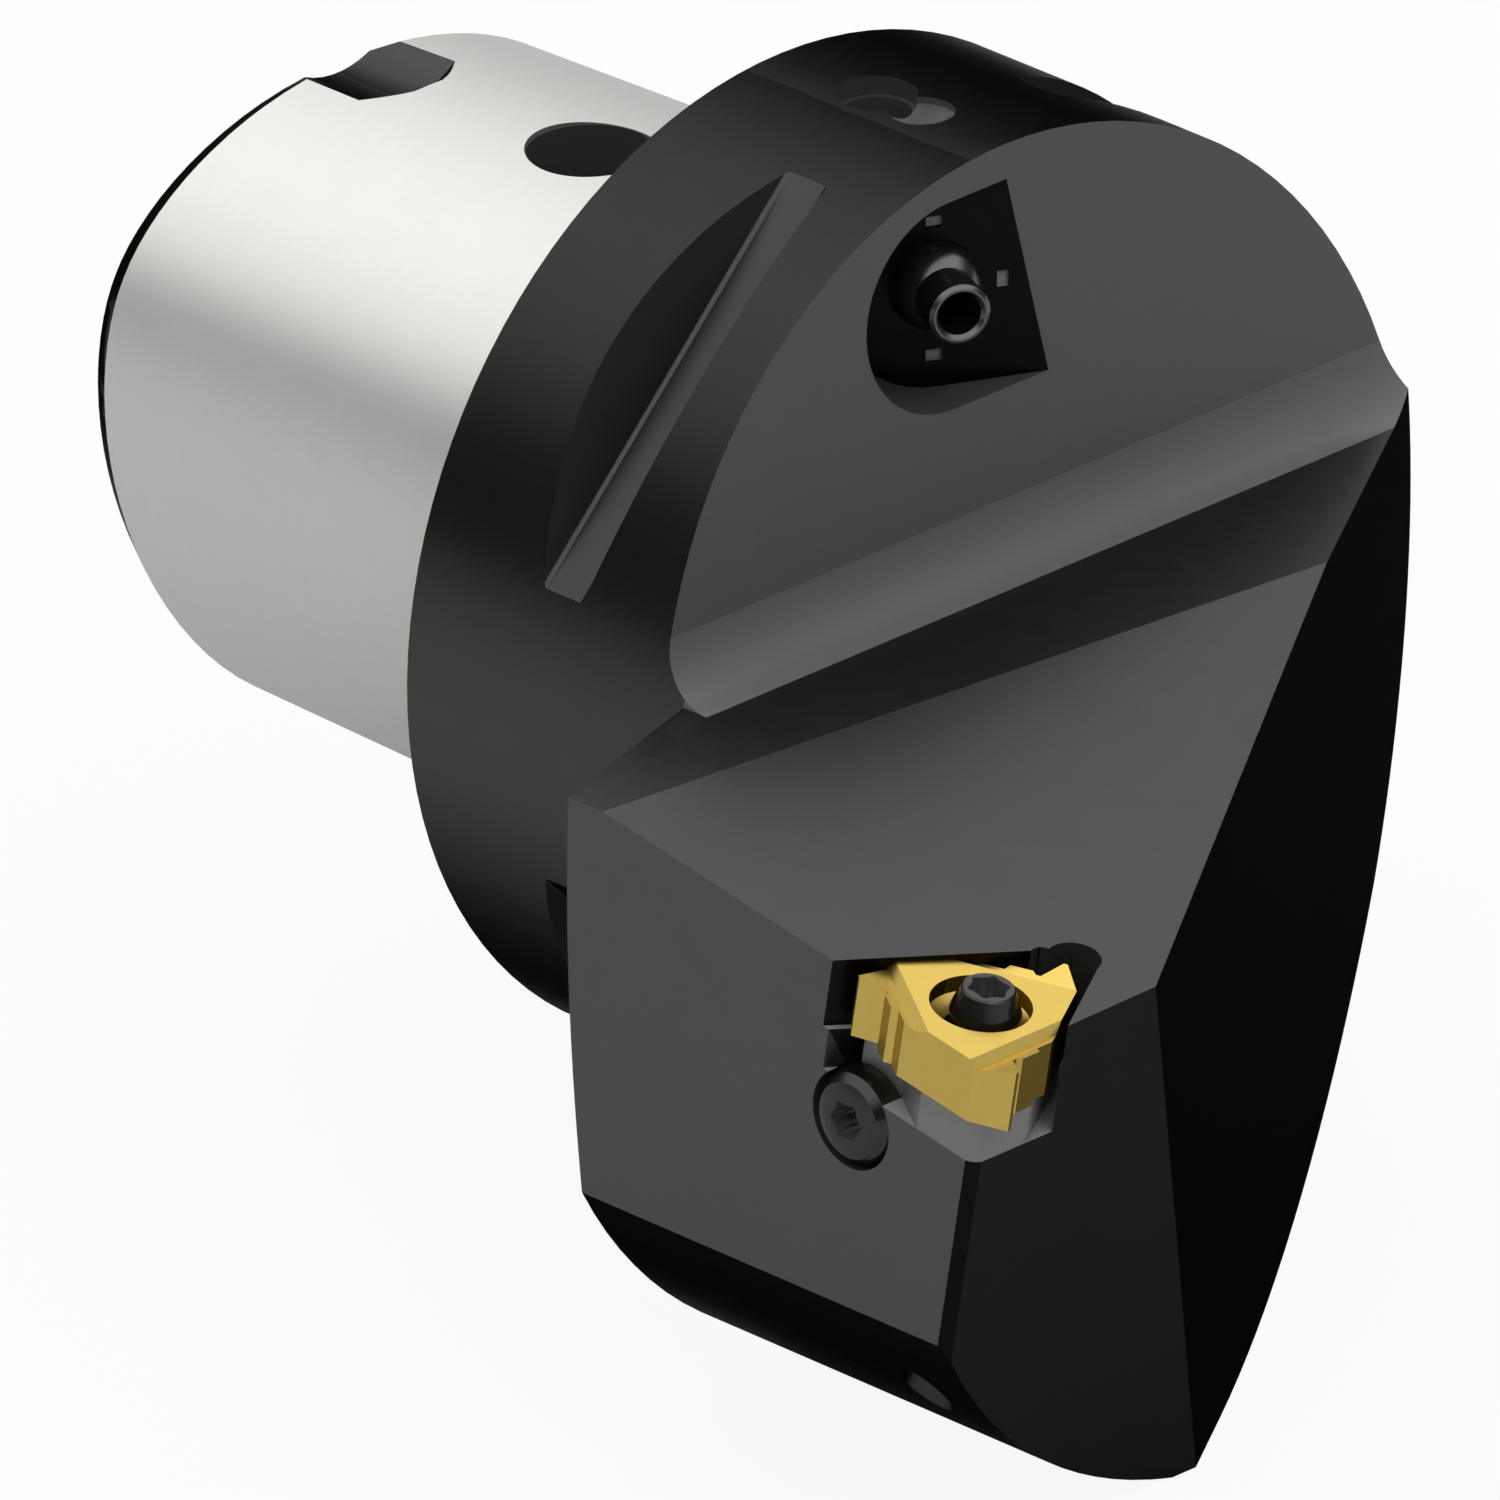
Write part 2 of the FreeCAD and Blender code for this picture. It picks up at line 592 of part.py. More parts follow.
def shim():
    """Hard shim under the insert, relieved where the side screw's head bears."""
    corner_x = (SHIM_SIDE - SHIM_RECESS_Y * sin(radians(150))) / cos(radians(150))
    join_y = (SHIM_FRONT_SIDE - SHIM_FRONT_X * cos(radians(30))) / sin(radians(30))
    top_y = SHIM_SIDE / sin(radians(30)) - SHIM_TOP_CUT
    half_top = SHIM_TOP_CUT * tan(radians(30))
    front_top = (SHIM_FRONT_SIDE - top_y * sin(radians(30))) / cos(radians(30))
    outline = [
        (corner_x, SHIM_RECESS_Y), (SHIM_RECESS_X, SHIM_RECESS_Y), (SHIM_SLANT_X, SHIM_LEFT_Y),
        (SHIM_FRONT_X, SHIM_LEFT_Y), (SHIM_FRONT_X, join_y), (front_top, top_y),
        (-half_top, top_y),
    ]
    plate = prism(outline, -SEAT_DEPTH, -INSERT_THICKNESS)
    for radius, corner_y in ((SHIM_NOSE_R, SHIM_LEFT_Y), (SHIM_SHOULDER_R, join_y)):
        corner = Part.Vertex(SHIM_FRONT_X, corner_y, -SEAT_DEPTH)
        upright = [e for e in plate.Edges
                   if corner.distToShape(e)[0] < TOUCH and e.BoundBox.ZLength > TOUCH]
        plate = plate.makeFillet(radius, upright)
    hole = rod(SHIM_HOLE_R, Vector(0, 0, -SEAT_DEPTH - 1), Z_AXIS, SHIM_THICKNESS + 2)
    plate = plate.cut(hole)
    plate.Placement = SEAT_PLACEMENT
    return plate


def lobed_socket(radius, lobe_radius, depth):
    """Six-lobed key recess opening at z = 0 and running down."""
    core = Part.makeCylinder(radius - lobe_radius * 0.6, depth + 1, Vector(0, 0, -depth))
    lobes = []
    for i in range(6):
        a = radians(60 * i)
        reach = radius - lobe_radius
        lobes.append(Part.makeCylinder(lobe_radius, depth + 1,
                                       Vector(reach * cos(a), reach * sin(a), -depth)))
    return core.fuse(lobes)


def turned(points):
    """Solid of revolution about Z from (r, z) points."""
    return face_of([(r, 0, z) for r, z in points]).revolve(Vector(0, 0, 0), Z_AXIS, 360)


def insert_screw():
    """Taper-headed screw standing proud of the insert."""
    point = THREAD_POINT
    screw = turned([
        (0, SCREW_TOP), (SCREW_TOP_R - SCREW_EDGE, SCREW_TOP),
        (SCREW_TOP_R, SCREW_TOP - SCREW_EDGE), (SCREW_BASE_R, SCREW_BASE),
        (SCREW_SEAT_R, SCREW_SEAT), (SCREW_THREAD_R, SCREW_SEAT),
        (SCREW_THREAD_R, point - SCREW_LENGTH), (SCREW_THREAD_R - point, -SCREW_LENGTH),
        (0, -SCREW_LENGTH),
    ])
    socket = lobed_socket(SOCKET_R, SOCKET_LOBE_R, SOCKET_DEPTH)
    socket.translate(Vector(0, 0, SCREW_TOP))
    screw = screw.cut(socket)
    screw.translate(SCREW_AXIS)
    screw.Placement = SEAT_PLACEMENT.multiply(screw.Placement)
    return screw


def shim_screw():
    """Domed screw whose rim overlaps the shim's relieved flank."""
    rim = SIDE_SCREW_DOME + SIDE_SCREW_RIM
    end = rim + SIDE_SCREW_LENGTH
    reach = SIDE_SCREW_R - SIDE_SCREW_FACE_R
    profile = [(0, 0)]
    for step in range(DOME_STEPS + 1):
        turn = radians(90.0 * step / DOME_STEPS)
        profile.append((SIDE_SCREW_FACE_R + reach * sin(turn), SIDE_SCREW_DOME * (cos(turn) - 1)))
    profile += [(SIDE_SCREW_R, -rim), (SIDE_SCREW_THREAD_R, -rim), (SIDE_SCREW_THREAD_R, -end),
                (0, -end)]
    screw = turned(profile).cut(lobed_socket(SOCKET_R, SOCKET_LOBE_R, SIDE_SOCKET_DEPTH))
    screw.Placement = Placement(Vector(SIDE_SCREW_X, LEFT_Y - SIDE_SCREW_PROUD, SIDE_SCREW_Z),
                                Rotation(Z_AXIS, Y_AXIS * -1))
    return screw


def coolant_nozzle():
    """Ball-ended coolant tube staked into its socket."""
    back = Vector(0, 0, -BALL_BACK)
    ball = Part.makeSphere(BALL_R).cut(Part.makeCylinder(BALL_R, BALL_R, back, Z_AXIS * -1))
    root = sqrt(BALL_R ** 2 - TUBE_ROOT_R ** 2)
    tip = TUBE_LENGTH - TUBE_CHAMFER
    tube = turned([(0, 0), (TUBE_ROOT_R, 0), (TUBE_ROOT_R, root),
                   (TUBE_R, root + TUBE_ROOT_R - TUBE_R), (TUBE_R, tip),
                   (TUBE_R - TUBE_CHAMFER, TUBE_LENGTH), (0, TUBE_LENGTH)])
    bore = rod(TUBE_BORE_R, back, Z_AXIS, TUBE_LENGTH + BALL_BACK)
    flare = cone(TUBE_BORE_R + BALL_FLARE, TUBE_BORE_R, back, Z_AXIS, BALL_FLARE)
    lip = cone(TUBE_BORE_R, TUBE_BORE_R + TUBE_CHAMFER, Vector(0, 0, tip), Z_AXIS, TUBE_CHAMFER)
    nozzle = ball.fuse(tube).cut([bore, flare, lip])
    nozzle.Placement = Placement(NOZZLE_CENTRE, Rotation(Z_AXIS, NOZZLE_DIRECTION))
    return nozzle


save(tool_body(), "tool_body")
save(shim(), "shim")
save(cutting_insert(), "cutting_insert")
save(insert_screw(), "insert_screw")
save(shim_screw(), "shim_screw")
save(coolant_nozzle(), "coolant_nozzle")
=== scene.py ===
import math

import bmesh
import bpy
import numpy as np
from bpy.props import FloatProperty, FloatVectorProperty, IntProperty, PointerProperty
from mathutils import Matrix, Vector


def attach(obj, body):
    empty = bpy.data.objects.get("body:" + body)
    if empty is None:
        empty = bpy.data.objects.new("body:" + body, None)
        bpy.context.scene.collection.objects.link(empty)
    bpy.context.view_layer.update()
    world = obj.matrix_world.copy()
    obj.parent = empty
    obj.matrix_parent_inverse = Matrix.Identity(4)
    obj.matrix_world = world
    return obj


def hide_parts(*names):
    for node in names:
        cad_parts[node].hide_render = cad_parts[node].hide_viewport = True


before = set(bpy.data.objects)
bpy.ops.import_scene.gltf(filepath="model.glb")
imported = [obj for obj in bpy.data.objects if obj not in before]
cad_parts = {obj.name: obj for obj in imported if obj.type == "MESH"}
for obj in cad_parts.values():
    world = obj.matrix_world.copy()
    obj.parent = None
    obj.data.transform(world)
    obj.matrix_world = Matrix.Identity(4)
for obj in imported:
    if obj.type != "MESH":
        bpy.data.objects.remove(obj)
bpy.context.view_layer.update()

bl_info = {
    "name": "Threading tool holder",
    "version": (1, 0, 0),
    "blender": (4, 5, 0),
    "location": "3D View > Sidebar > Tool holder",
    "description": "Dresses the threading tool holder's solids and sets up its studio",
    "category": "Object",
}

MM = 0.001

# Places taken over from the solids, in millimetres
SEAT_TILT = math.radians(10.0)
SEAT_CENTRE = Vector((71.9, -50.95, 1.43))
SCREW_OFFSET = 0.43
SCREW_OFFSET_TURN = math.radians(60.0)
SCREW_THREAD_TOP = -2.3
SCREW_END = -16.0
SCREW_THREAD_R = 2.25
SIDE_SCREW_PLACE = Vector((63.75, -57.0, -9.0))
SIDE_SCREW_THREAD_TOP = -2.6
SIDE_SCREW_END = -11.6
SIDE_SCREW_THREAD_R = 2.0
DRAW_THREAD_R = 10.0
DRAW_THREAD_START = -11.0
DRAW_THREAD_END = 8.0
NOZZLE_PLACE = Vector((21.53, -5.28, 29.39))
NOZZLE_TURN = math.radians(-25.6)
NOZZLE_OUT = Vector((math.cos(NOZZLE_TURN), math.sin(NOZZLE_TURN), 0.0))
FLOOR_Z = -46.1

# Flat faces of the body: name, outward direction, distance of the plane from the origin
# (None where several planes share the direction), and painted light and shade: a factor on
# the colour that paints each face lighter or darker
NECK_DIRECTION = Vector((1.0, 0.0, 0.0897)).normalized()
FRONT_DIRECTION = Vector((math.cos(SEAT_TILT), 0.0, -math.sin(SEAT_TILT)))
SIDE_TURN = math.radians(32.61)
SIDE_DIRECTION = Vector((math.cos(SIDE_TURN), math.sin(SIDE_TURN), 0.0))
RAMP_DIRECTION = Vector((0.1708, -0.0174, 0.9851)).normalized()
SEAT_UP = Vector((math.sin(SEAT_TILT), 0.0, math.cos(SEAT_TILT)))
FACETS = (
    ("neck_front", NECK_DIRECTION, 27.263, 1.8),
    ("left_side", Vector((0.0, -1.0, 0.0)), 56.5, 1.95),
    ("top_plane", Vector((0.0, 0.0, 1.0)), 7.7, 2.15),
    ("front_facet", FRONT_DIRECTION, 76.91, 0.62),
    ("side_facet", SIDE_DIRECTION, 44.97, 0.06),
    ("ridge", (FRONT_DIRECTION + Vector((0.0, -1.0, 0.0))).normalized(), None, 0.15),
    ("pocket_floor", NOZZLE_OUT, NOZZLE_OUT.dot(NOZZLE_PLACE), 0.15),
    ("flange_back", Vector((-1.0, 0.0, 0.0)), 0.0, 0.9),
    ("ramp", RAMP_DIRECTION, None, 1.5),
    ("seat_level", SEAT_UP, None, 5.0),
)
MATT_FACETS = ("neck_front", "seat_level")
SAME_DIRECTION = math.cos(math.radians(0.4))
SAME_PLANE = 0.05
# The flange and the neck: radius, end of the half-round neck, end of its round side
FLANGE_R = 40.0
NECK_END_X = 28.0
ROUND_END_X = 34.0
# Ground stretch of the shank, and its polygon: mean radius at the contact face, lobe
# height, radius lost per mm
SHANK_FRONT_X = 2.0
SHANK_REAR_X = -46.3
SHANK_R = 27.9
SHANK_E = 1.75
SHANK_TAPER = 0.025
# How far a ground face may lie from the mean radius, and how far it may lean
SHANK_SWING = 2.6
SHANK_COS = 0.99
# Rounds and step of the search for the polygon's angle under a point
ANGLE_ROUNDS = 12
ANGLE_STEP = 0.7
# Round walls of holes and hollows: name, middle, axis, radius, depth on either side, and painted
# light and shade on the wall as a factor on the colour
HOLLOWS = (
    ("side_hole", Vector((-20.4, 0.0, 22.0)), Vector((0.0, 0.0, 1.0)), 5.5, 8.0, 0.9),
    ("code_hole", Vector((10.2, 0.0, 36.0)), Vector((0.0, 0.0, 1.0)), 3.2, 4.5, 0.9),
    ("code_mark", Vector((15.0, 0.0, 39.0)), Vector((0.0, 0.0, 1.0)), 2.6, 1.5, 1.5),
    ("screw_recess", Vector((63.75, -56.0, -9.0)), Vector((0.0, 1.0, 0.0)), 4.1, 2.5, 0.6),
    ("stake_marks", NOZZLE_PLACE - NOZZLE_OUT * 0.2, NOZZLE_OUT, 6.6, 0.19, 4.0),
    ("pocket_wall", NOZZLE_PLACE + NOZZLE_OUT * 6.1, NOZZLE_OUT, 12.5, 6.0, 1.0),
)
# A face that points this far away from a hollow's axis isn't part of its wall
HOLLOW_OUTWARD = 0.2
# The insert's flank over the front facet, which gets painted shade
FLANK_DIRECTION = Vector((0.95, 0.26, -0.17)).normalized()
FLANK_COS = 0.94
FLANK_PAINTED_SHADE = 0.25
# Walls of a screw's socket: painted highlight on them, lowest level, and how far they face the
# screw's axis
SOCKET_PAINTED_HIGHLIGHT = 8.0
SOCKET_LEVEL = -2.0
SOCKET_INWARD = 0.4
# Turns from the top towards the insert's side between which the rim's painted shade turns into
# painted light
RIM_TURN = (math.radians(55.0), math.radians(100.0))
# Painted shade on the rim's top and painted light on the insert's side, as factors on the colour
RIM_PAINTED_LIGHT = (0.6, 1.5)
# How far the middle of a rim triangle may lie under or over the round, and how far it may
# lean
RIM_SAG = 0.8
RIM_RISE = 0.1
RIM_COS = 0.97
# Fillet between the neck and the head's top: painted light on it, and its borders
FILLET_PAINTED_LIGHT = 2.3
FILLET_X = (26.0, 34.0)
FILLET_Z = (7.6, 14.0)
# The insert seat: painted shade on its straight walls and on the relief arcs between them,
# its borders, its depth under the seat's centre, and the step in degrees of the walls' turns
SEAT_WALL_PAINTED_SHADE = 0.2
SEAT_RELIEF_PAINTED_SHADE = 0.5
SEAT_BACK_X = 45.0
SEAT_LEFT_Y = -55.5
SEAT_DEPTH = 9.0
SEAT_WALL_STEP = 30.0
SEAT_WALL_SLACK = 0.03

# Creases: the body, the border of a named flat face, the insert and shim, the screws
CREASE = math.radians(28.0)
FACET_CREASE = math.radians(12.0)
WEAR_CREASE = math.radians(14.0)
SCREW_CREASE = math.radians(22.0)

# Distances in metres below which points are joined
WELD = 0.5e-6
THREAD_WELD = 1e-6
SLIVER = 1e-7

# A thread's ridge, as shares of half a pitch: its flat crest and the slope of its flank
RIDGE_CREST = 0.12
RIDGE_SLOPE = 1.3
# Rings of a thread's grid in one pitch
SCREW_RINGS = 8
DRAW_THREAD_RINGS = 10
DRAW_THREAD_SIDES = 64
DRAW_THREAD_WALL = 0.6
DRAW_THREAD_TONE = 0.7
# A screw's head keeps this much of the plain shank under the thread's top level, and the
# thread itself ends this far under that level
HEAD_STUB = 0.3
THREAD_DROP = 0.1

# Finish: depth of the machining lines in metres, and size of the patches in the
# roughness as a share of those in the colour
GRAIN_DEPTH = 0.00002
ROUGH_PATCH = 0.4


# Settings

class HolderFinishSettings(bpy.types.PropertyGroup):
    """Colours and grain of the holder's finishes."""

    black_oxide: FloatVectorProperty(
        name="Black oxide", description="Colour of the blackened steel",
        subtype="COLOR", size=3, default=(0.07, 0.07, 0.07), min=0.0, max=1.0)
    ground_steel: FloatVectorProperty(
        name="Ground steel", description="Colour of the ground polygon shank",
        subtype="COLOR", size=3, default=(0.84, 0.845, 0.815), min=0.0, max=1.0)
    gold_coating: FloatVectorProperty(
        name="Gold coating", description="Colour of the insert's coating",
        subtype="COLOR", size=3, default=(0.79, 0.57, 0.14), min=0.0, max=1.0)
    shim_grey: FloatVectorProperty(
        name="Shim grey", description="Colour of the hard metal shim",
        subtype="COLOR", size=3, default=(0.27, 0.27, 0.27), min=0.0, max=1.0)
    screw_black: FloatVectorProperty(
        name="Screw black", description="Colour of the two screws",
        subtype="COLOR", size=3, default=(0.06, 0.06, 0.06), min=0.0, max=1.0)
    nozzle_black: FloatVectorProperty(
        name="Nozzle black", description="Colour of the coolant nozzle",
        subtype="COLOR", size=3, default=(0.15, 0.15, 0.15), min=0.0, max=1.0)
    grain_size: FloatProperty(
        name="Grain size", description="Spacing of the fine machining lines",
        unit="LENGTH", default=0.00022, min=0.00002, max=0.005)
    mottle_size: FloatProperty(
        name="Mottle size", description="Size of the soft patches in the finish",
        unit="LENGTH", default=0.004, min=0.0005, max=0.05)


class HolderThreadSettings(bpy.types.PropertyGroup):
    """Sizes of the screw threads."""

    insert_screw_pitch: FloatProperty(
        name="Insert screw pitch", description="Pitch of the insert screw's thread",
        unit="LENGTH", default=0.00075, min=0.0003, max=0.003)
    shim_screw_pitch: FloatProperty(
        name="Shim screw pitch", description="Pitch of the shim screw's thread",
        unit="LENGTH", default=0.0007, min=0.0003, max=0.003)
    draw_thread_pitch: FloatProperty(
        name="Draw thread pitch", description="Pitch of the draw-in thread in the shank",
        unit="LENGTH", default=0.002, min=0.0005, max=0.004)
    ridge_share: FloatProperty(
        name="Ridge height", description="Height of a thread ridge as a share of the pitch",
        subtype="FACTOR", default=0.54, min=0.1, max=0.8)
    sides: IntProperty(
        name="Sides", description="Steps around a thread", default=40, min=12, max=128)


class HolderStudioSettings(bpy.types.PropertyGroup):
    """Camera and light of the studio."""

    lens: FloatProperty(
        name="Lens", description="Focal length that gives the picture's frame",
        unit="CAMERA", default=1216.4, min=50.0, max=3000.0)
    sky_level: FloatProperty(
        name="Sky level", description="Brightness of the bright ceiling",
        default=1.1, min=0.0, max=2.0)
    floor_size: FloatProperty(
        name="Floor size", description="Side length of the floor",
        unit="LENGTH", default=14.0, min=1.0, max=50.0)
    floor_glow: FloatProperty(
        name="Floor glow",
        description="Share of plain white in what the camera sees of the floor",
        subtype="FACTOR", default=0.92, min=0.0, max=1.0)


# Node helpers

def add_node(tree, kind, inputs=None, **settings):
    """One node with its settings; inputs maps a socket to a value or to another socket."""
    node = tree.nodes.new(kind)
    for name, value in settings.items():
        setattr(node, name, value)
    for key, value in (inputs or {}).items():
        if isinstance(value, bpy.types.NodeSocket):
            tree.links.new(value, node.inputs[key])
        else:
            node.inputs[key].default_value = value
    return node


def maths(tree, operation, a, b=0.0, clamp=False):
    """Output of a math node on two values or sockets."""
    return add_node(tree, "ShaderNodeMath", {0: a, 1: b}, operation=operation,
                    use_clamp=clamp).outputs[0]


def new_group(name, kind, inputs, outputs):
    """Node group with named sockets; returns the tree, its input and its output node."""
    tree = bpy.data.node_groups.new(name, kind)
    for label, socket, value in inputs:
        item = tree.interface.new_socket(name=label, in_out="INPUT", socket_type=socket)
        if value is not None:
            item.default_value = value
    for label, socket in outputs:
        tree.interface.new_socket(name=label, in_out="OUTPUT", socket_type=socket)
    return tree, tree.nodes.new("NodeGroupInput"), tree.nodes.new("NodeGroupOutput")


def machined_grain_group():
    """Fine lines along one direction: Stretch flattens the noise along each axis."""
    tree, source, sink = new_group(
        "machined_grain", "ShaderNodeTree",
        [("Size", "NodeSocketFloat", 0.0003), ("Stretch", "NodeSocketVector", (1.0, 1.0, 1.0))],
        [("Height", "NodeSocketFloat"), ("Lines", "NodeSocketFloat")])
    place = add_node(tree, "ShaderNodeTexCoord")
    thin = add_node(tree, "ShaderNodeVectorMath", {0: place.outputs["Object"],
                                                   1: source.outputs["Stretch"]},
                    operation="MULTIPLY")
    scale = maths(tree, "DIVIDE", 1.0, source.outputs["Size"])
    lines = add_node(tree, "ShaderNodeTexNoise", {"Vector": thin.outputs[0], "Scale": scale,
                                                  "Detail": 2.0, "Roughness": 0.55})
    centred = maths(tree, "SUBTRACT", lines.outputs["Fac"], 0.5)
    tree.links.new(lines.outputs["Fac"], sink.inputs["Height"])
    tree.links.new(centred, sink.inputs["Lines"])
    return tree


def mottle_group():
    """Soft uneven patches, centred on one, for colour and roughness."""
    tree, source, sink = new_group(
        "finish_mottle", "ShaderNodeTree",
        [("Size", "NodeSocketFloat", 0.004), ("Amount", "NodeSocketFloat", 0.1)],
        [("Factor", "NodeSocketFloat")])
    place = add_node(tree, "ShaderNodeTexCoord")
    scale = maths(tree, "DIVIDE", 1.0, source.outputs["Size"])
    patches = add_node(tree, "ShaderNodeTexNoise", {"Vector": place.outputs["Object"],
                                                    "Scale": scale, "Detail": 4.0,
                                                    "Roughness": 0.6})
    centred = maths(tree, "SUBTRACT", patches.outputs["Fac"], 0.5)
    swing = maths(tree, "MULTIPLY", centred, source.outputs["Amount"])
    tree.links.new(maths(tree, "ADD", swing, 1.0), sink.inputs["Factor"])
    return tree


def shade_group():
    """A colour times a factor."""
    tree, source, sink = new_group(
        "toned_colour", "ShaderNodeTree",
        [("Colour", "NodeSocketColor", (0.5, 0.5, 0.5, 1.0)), ("Factor", "NodeSocketFloat", 1.0)],
        [("Colour", "NodeSocketColor")])
    scaled = add_node(tree, "ShaderNodeVectorMath", {0: source.outputs["Colour"],
                                                     "Scale": source.outputs["Factor"]},
                      operation="SCALE")
    tree.links.new(scaled.outputs[0], sink.inputs["Colour"])
    return tree


def shared_group(name, build):
    """The node group of that name, built once."""
    found = bpy.data.node_groups.get(name)
    return found if found else build()


def grouped(tree, name, build, inputs):
    """Node that places a shared shader group in a material."""
    return add_node(tree, "ShaderNodeGroup", inputs, node_tree=shared_group(name, build))


def metal_material(name, colour, roughness, grain_strength, mottle, metallic=1.0,
                   grain=(1.0, 1.0, 1.0), mottle_size=None, rough_swing=0.25, edge_tint=None,
                   painted_light=None, matt=None):
    """Metal finish with soft patches and machining lines. Two arguments name attributes of
    the mesh: a factor on the colour that paints light and shade, and 1 where a face is matt."""
    finish = bpy.context.scene.holder_finish
    material = bpy.data.materials.new(name)
    material.use_nodes = True
    tree = material.node_tree
    shader = tree.nodes["Principled BSDF"]
    shader.inputs["Metallic"].default_value = metallic
    if edge_tint is not None:
        shader.inputs["Specular Tint"].default_value = (edge_tint, edge_tint, edge_tint, 1.0)
    if matt:
        dull = add_node(tree, "ShaderNodeAttribute", attribute_name=matt)
        shine = maths(tree, "SUBTRACT", metallic, dull.outputs["Fac"], clamp=True)
        tree.links.new(shine, shader.inputs["Metallic"])
    size = mottle_size or finish.mottle_size
    patches = grouped(tree, "finish_mottle", mottle_group, {"Size": size, "Amount": mottle})
    factor = patches.outputs["Factor"]
    lines = grouped(tree, "machined_grain", machined_grain_group,
                    {"Size": finish.grain_size, "Stretch": grain})
    if painted_light:
        attribute = add_node(tree, "ShaderNodeAttribute", attribute_name=painted_light)
        factor = maths(tree, "MULTIPLY", factor, attribute.outputs["Fac"])
    streaks = maths(tree, "MULTIPLY_ADD", lines.outputs["Lines"], mottle)
    streaks.node.inputs[2].default_value = 1.0
    factor = maths(tree, "MULTIPLY", factor, streaks)
    toned = grouped(tree, "toned_colour", shade_group, {"Colour": (*colour, 1.0),
                                                        "Factor": factor})
    tree.links.new(toned.outputs["Colour"], shader.inputs["Base Color"])
    swing = grouped(tree, "finish_mottle", mottle_group, {"Size": size * ROUGH_PATCH,
                                                          "Amount": rough_swing})
    rough = maths(tree, "MULTIPLY", swing.outputs["Factor"], roughness, clamp=True)
    tree.links.new(rough, shader.inputs["Roughness"])
    bump = add_node(tree, "ShaderNodeBump", {"Strength": grain_strength,
                                             "Distance": GRAIN_DEPTH,
                                             "Height": lines.outputs["Height"]})
    tree.links.new(bump.outputs["Normal"], shader.inputs["Normal"])
    return material


# Mesh helpers

def link(obj):
    """Puts an object into the scene."""
    bpy.context.scene.collection.objects.link(obj)
    return obj


def new_object(name, mesh):
    """Object of that name in the scene with a mesh."""
    return link(bpy.data.objects.new(name, mesh))


def merged_copy(node, name):
    """Copy of a node's mesh with its loose triangles joined."""
    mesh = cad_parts[node].data.copy()
    mesh.name = name
    mesh.materials.clear()
    shell = bmesh.new()
    shell.from_mesh(mesh)
    bmesh.ops.remove_doubles(shell, verts=shell.verts, dist=WELD)
    bmesh.ops.dissolve_degenerate(shell, edges=shell.edges, dist=SLIVER)
    shell.to_mesh(mesh)
    shell.free()
    return new_object(name, mesh)


def crease(mesh, angle=CREASE, facet=None):
    """Smooth shading up to an angle, and hard edges between named flat faces."""
    shell = bmesh.new()
    shell.from_mesh(mesh)
    shell.faces.ensure_lookup_table()
    for face in shell.faces:
        face.smooth = True
    for edge in shell.edges:
        if len(edge.link_faces) != 2:
            edge.smooth = False
            continue
        a, b = edge.link_faces
        hard = edge.calc_face_angle(math.pi) > angle
        if facet is not None and facet[a.index] != facet[b.index]:
            both = facet[a.index] >= 0 and facet[b.index] >= 0
            hard = hard or both or edge.calc_face_angle(math.pi) > FACET_CREASE
        edge.smooth = not hard
    shell.to_mesh(mesh)
    shell.free()


def spread_attribute(mesh, name, values, domain="FACE"):
    """Float attribute with one value per face, or per corner of each face in turn."""
    layer = mesh.attributes.new(name, "FLOAT", domain)
    layer.data.foreach_set("value", np.asarray(values, dtype=np.float32))


def seat_matrix():
    """Frame of the insert seat, in metres."""
    return Matrix.Translation(SEAT_CENTRE * MM) @ Matrix.Rotation(SEAT_TILT, 4, "Y")


def insert_screw_matrix():
    """Frame of the insert screw, set off a little towards the seat's corner, in metres."""
    away = Vector((math.cos(SCREW_OFFSET_TURN), math.sin(SCREW_OFFSET_TURN), 0.0))
    return seat_matrix() @ Matrix.Translation(away * SCREW_OFFSET * MM)


def aimed(place, axis):
    """Frame at a point whose Z runs along an axis."""
    turn = axis.to_track_quat("Z", "Y").to_matrix().to_4x4()
    return Matrix.Translation(place * MM) @ turn


# Threads

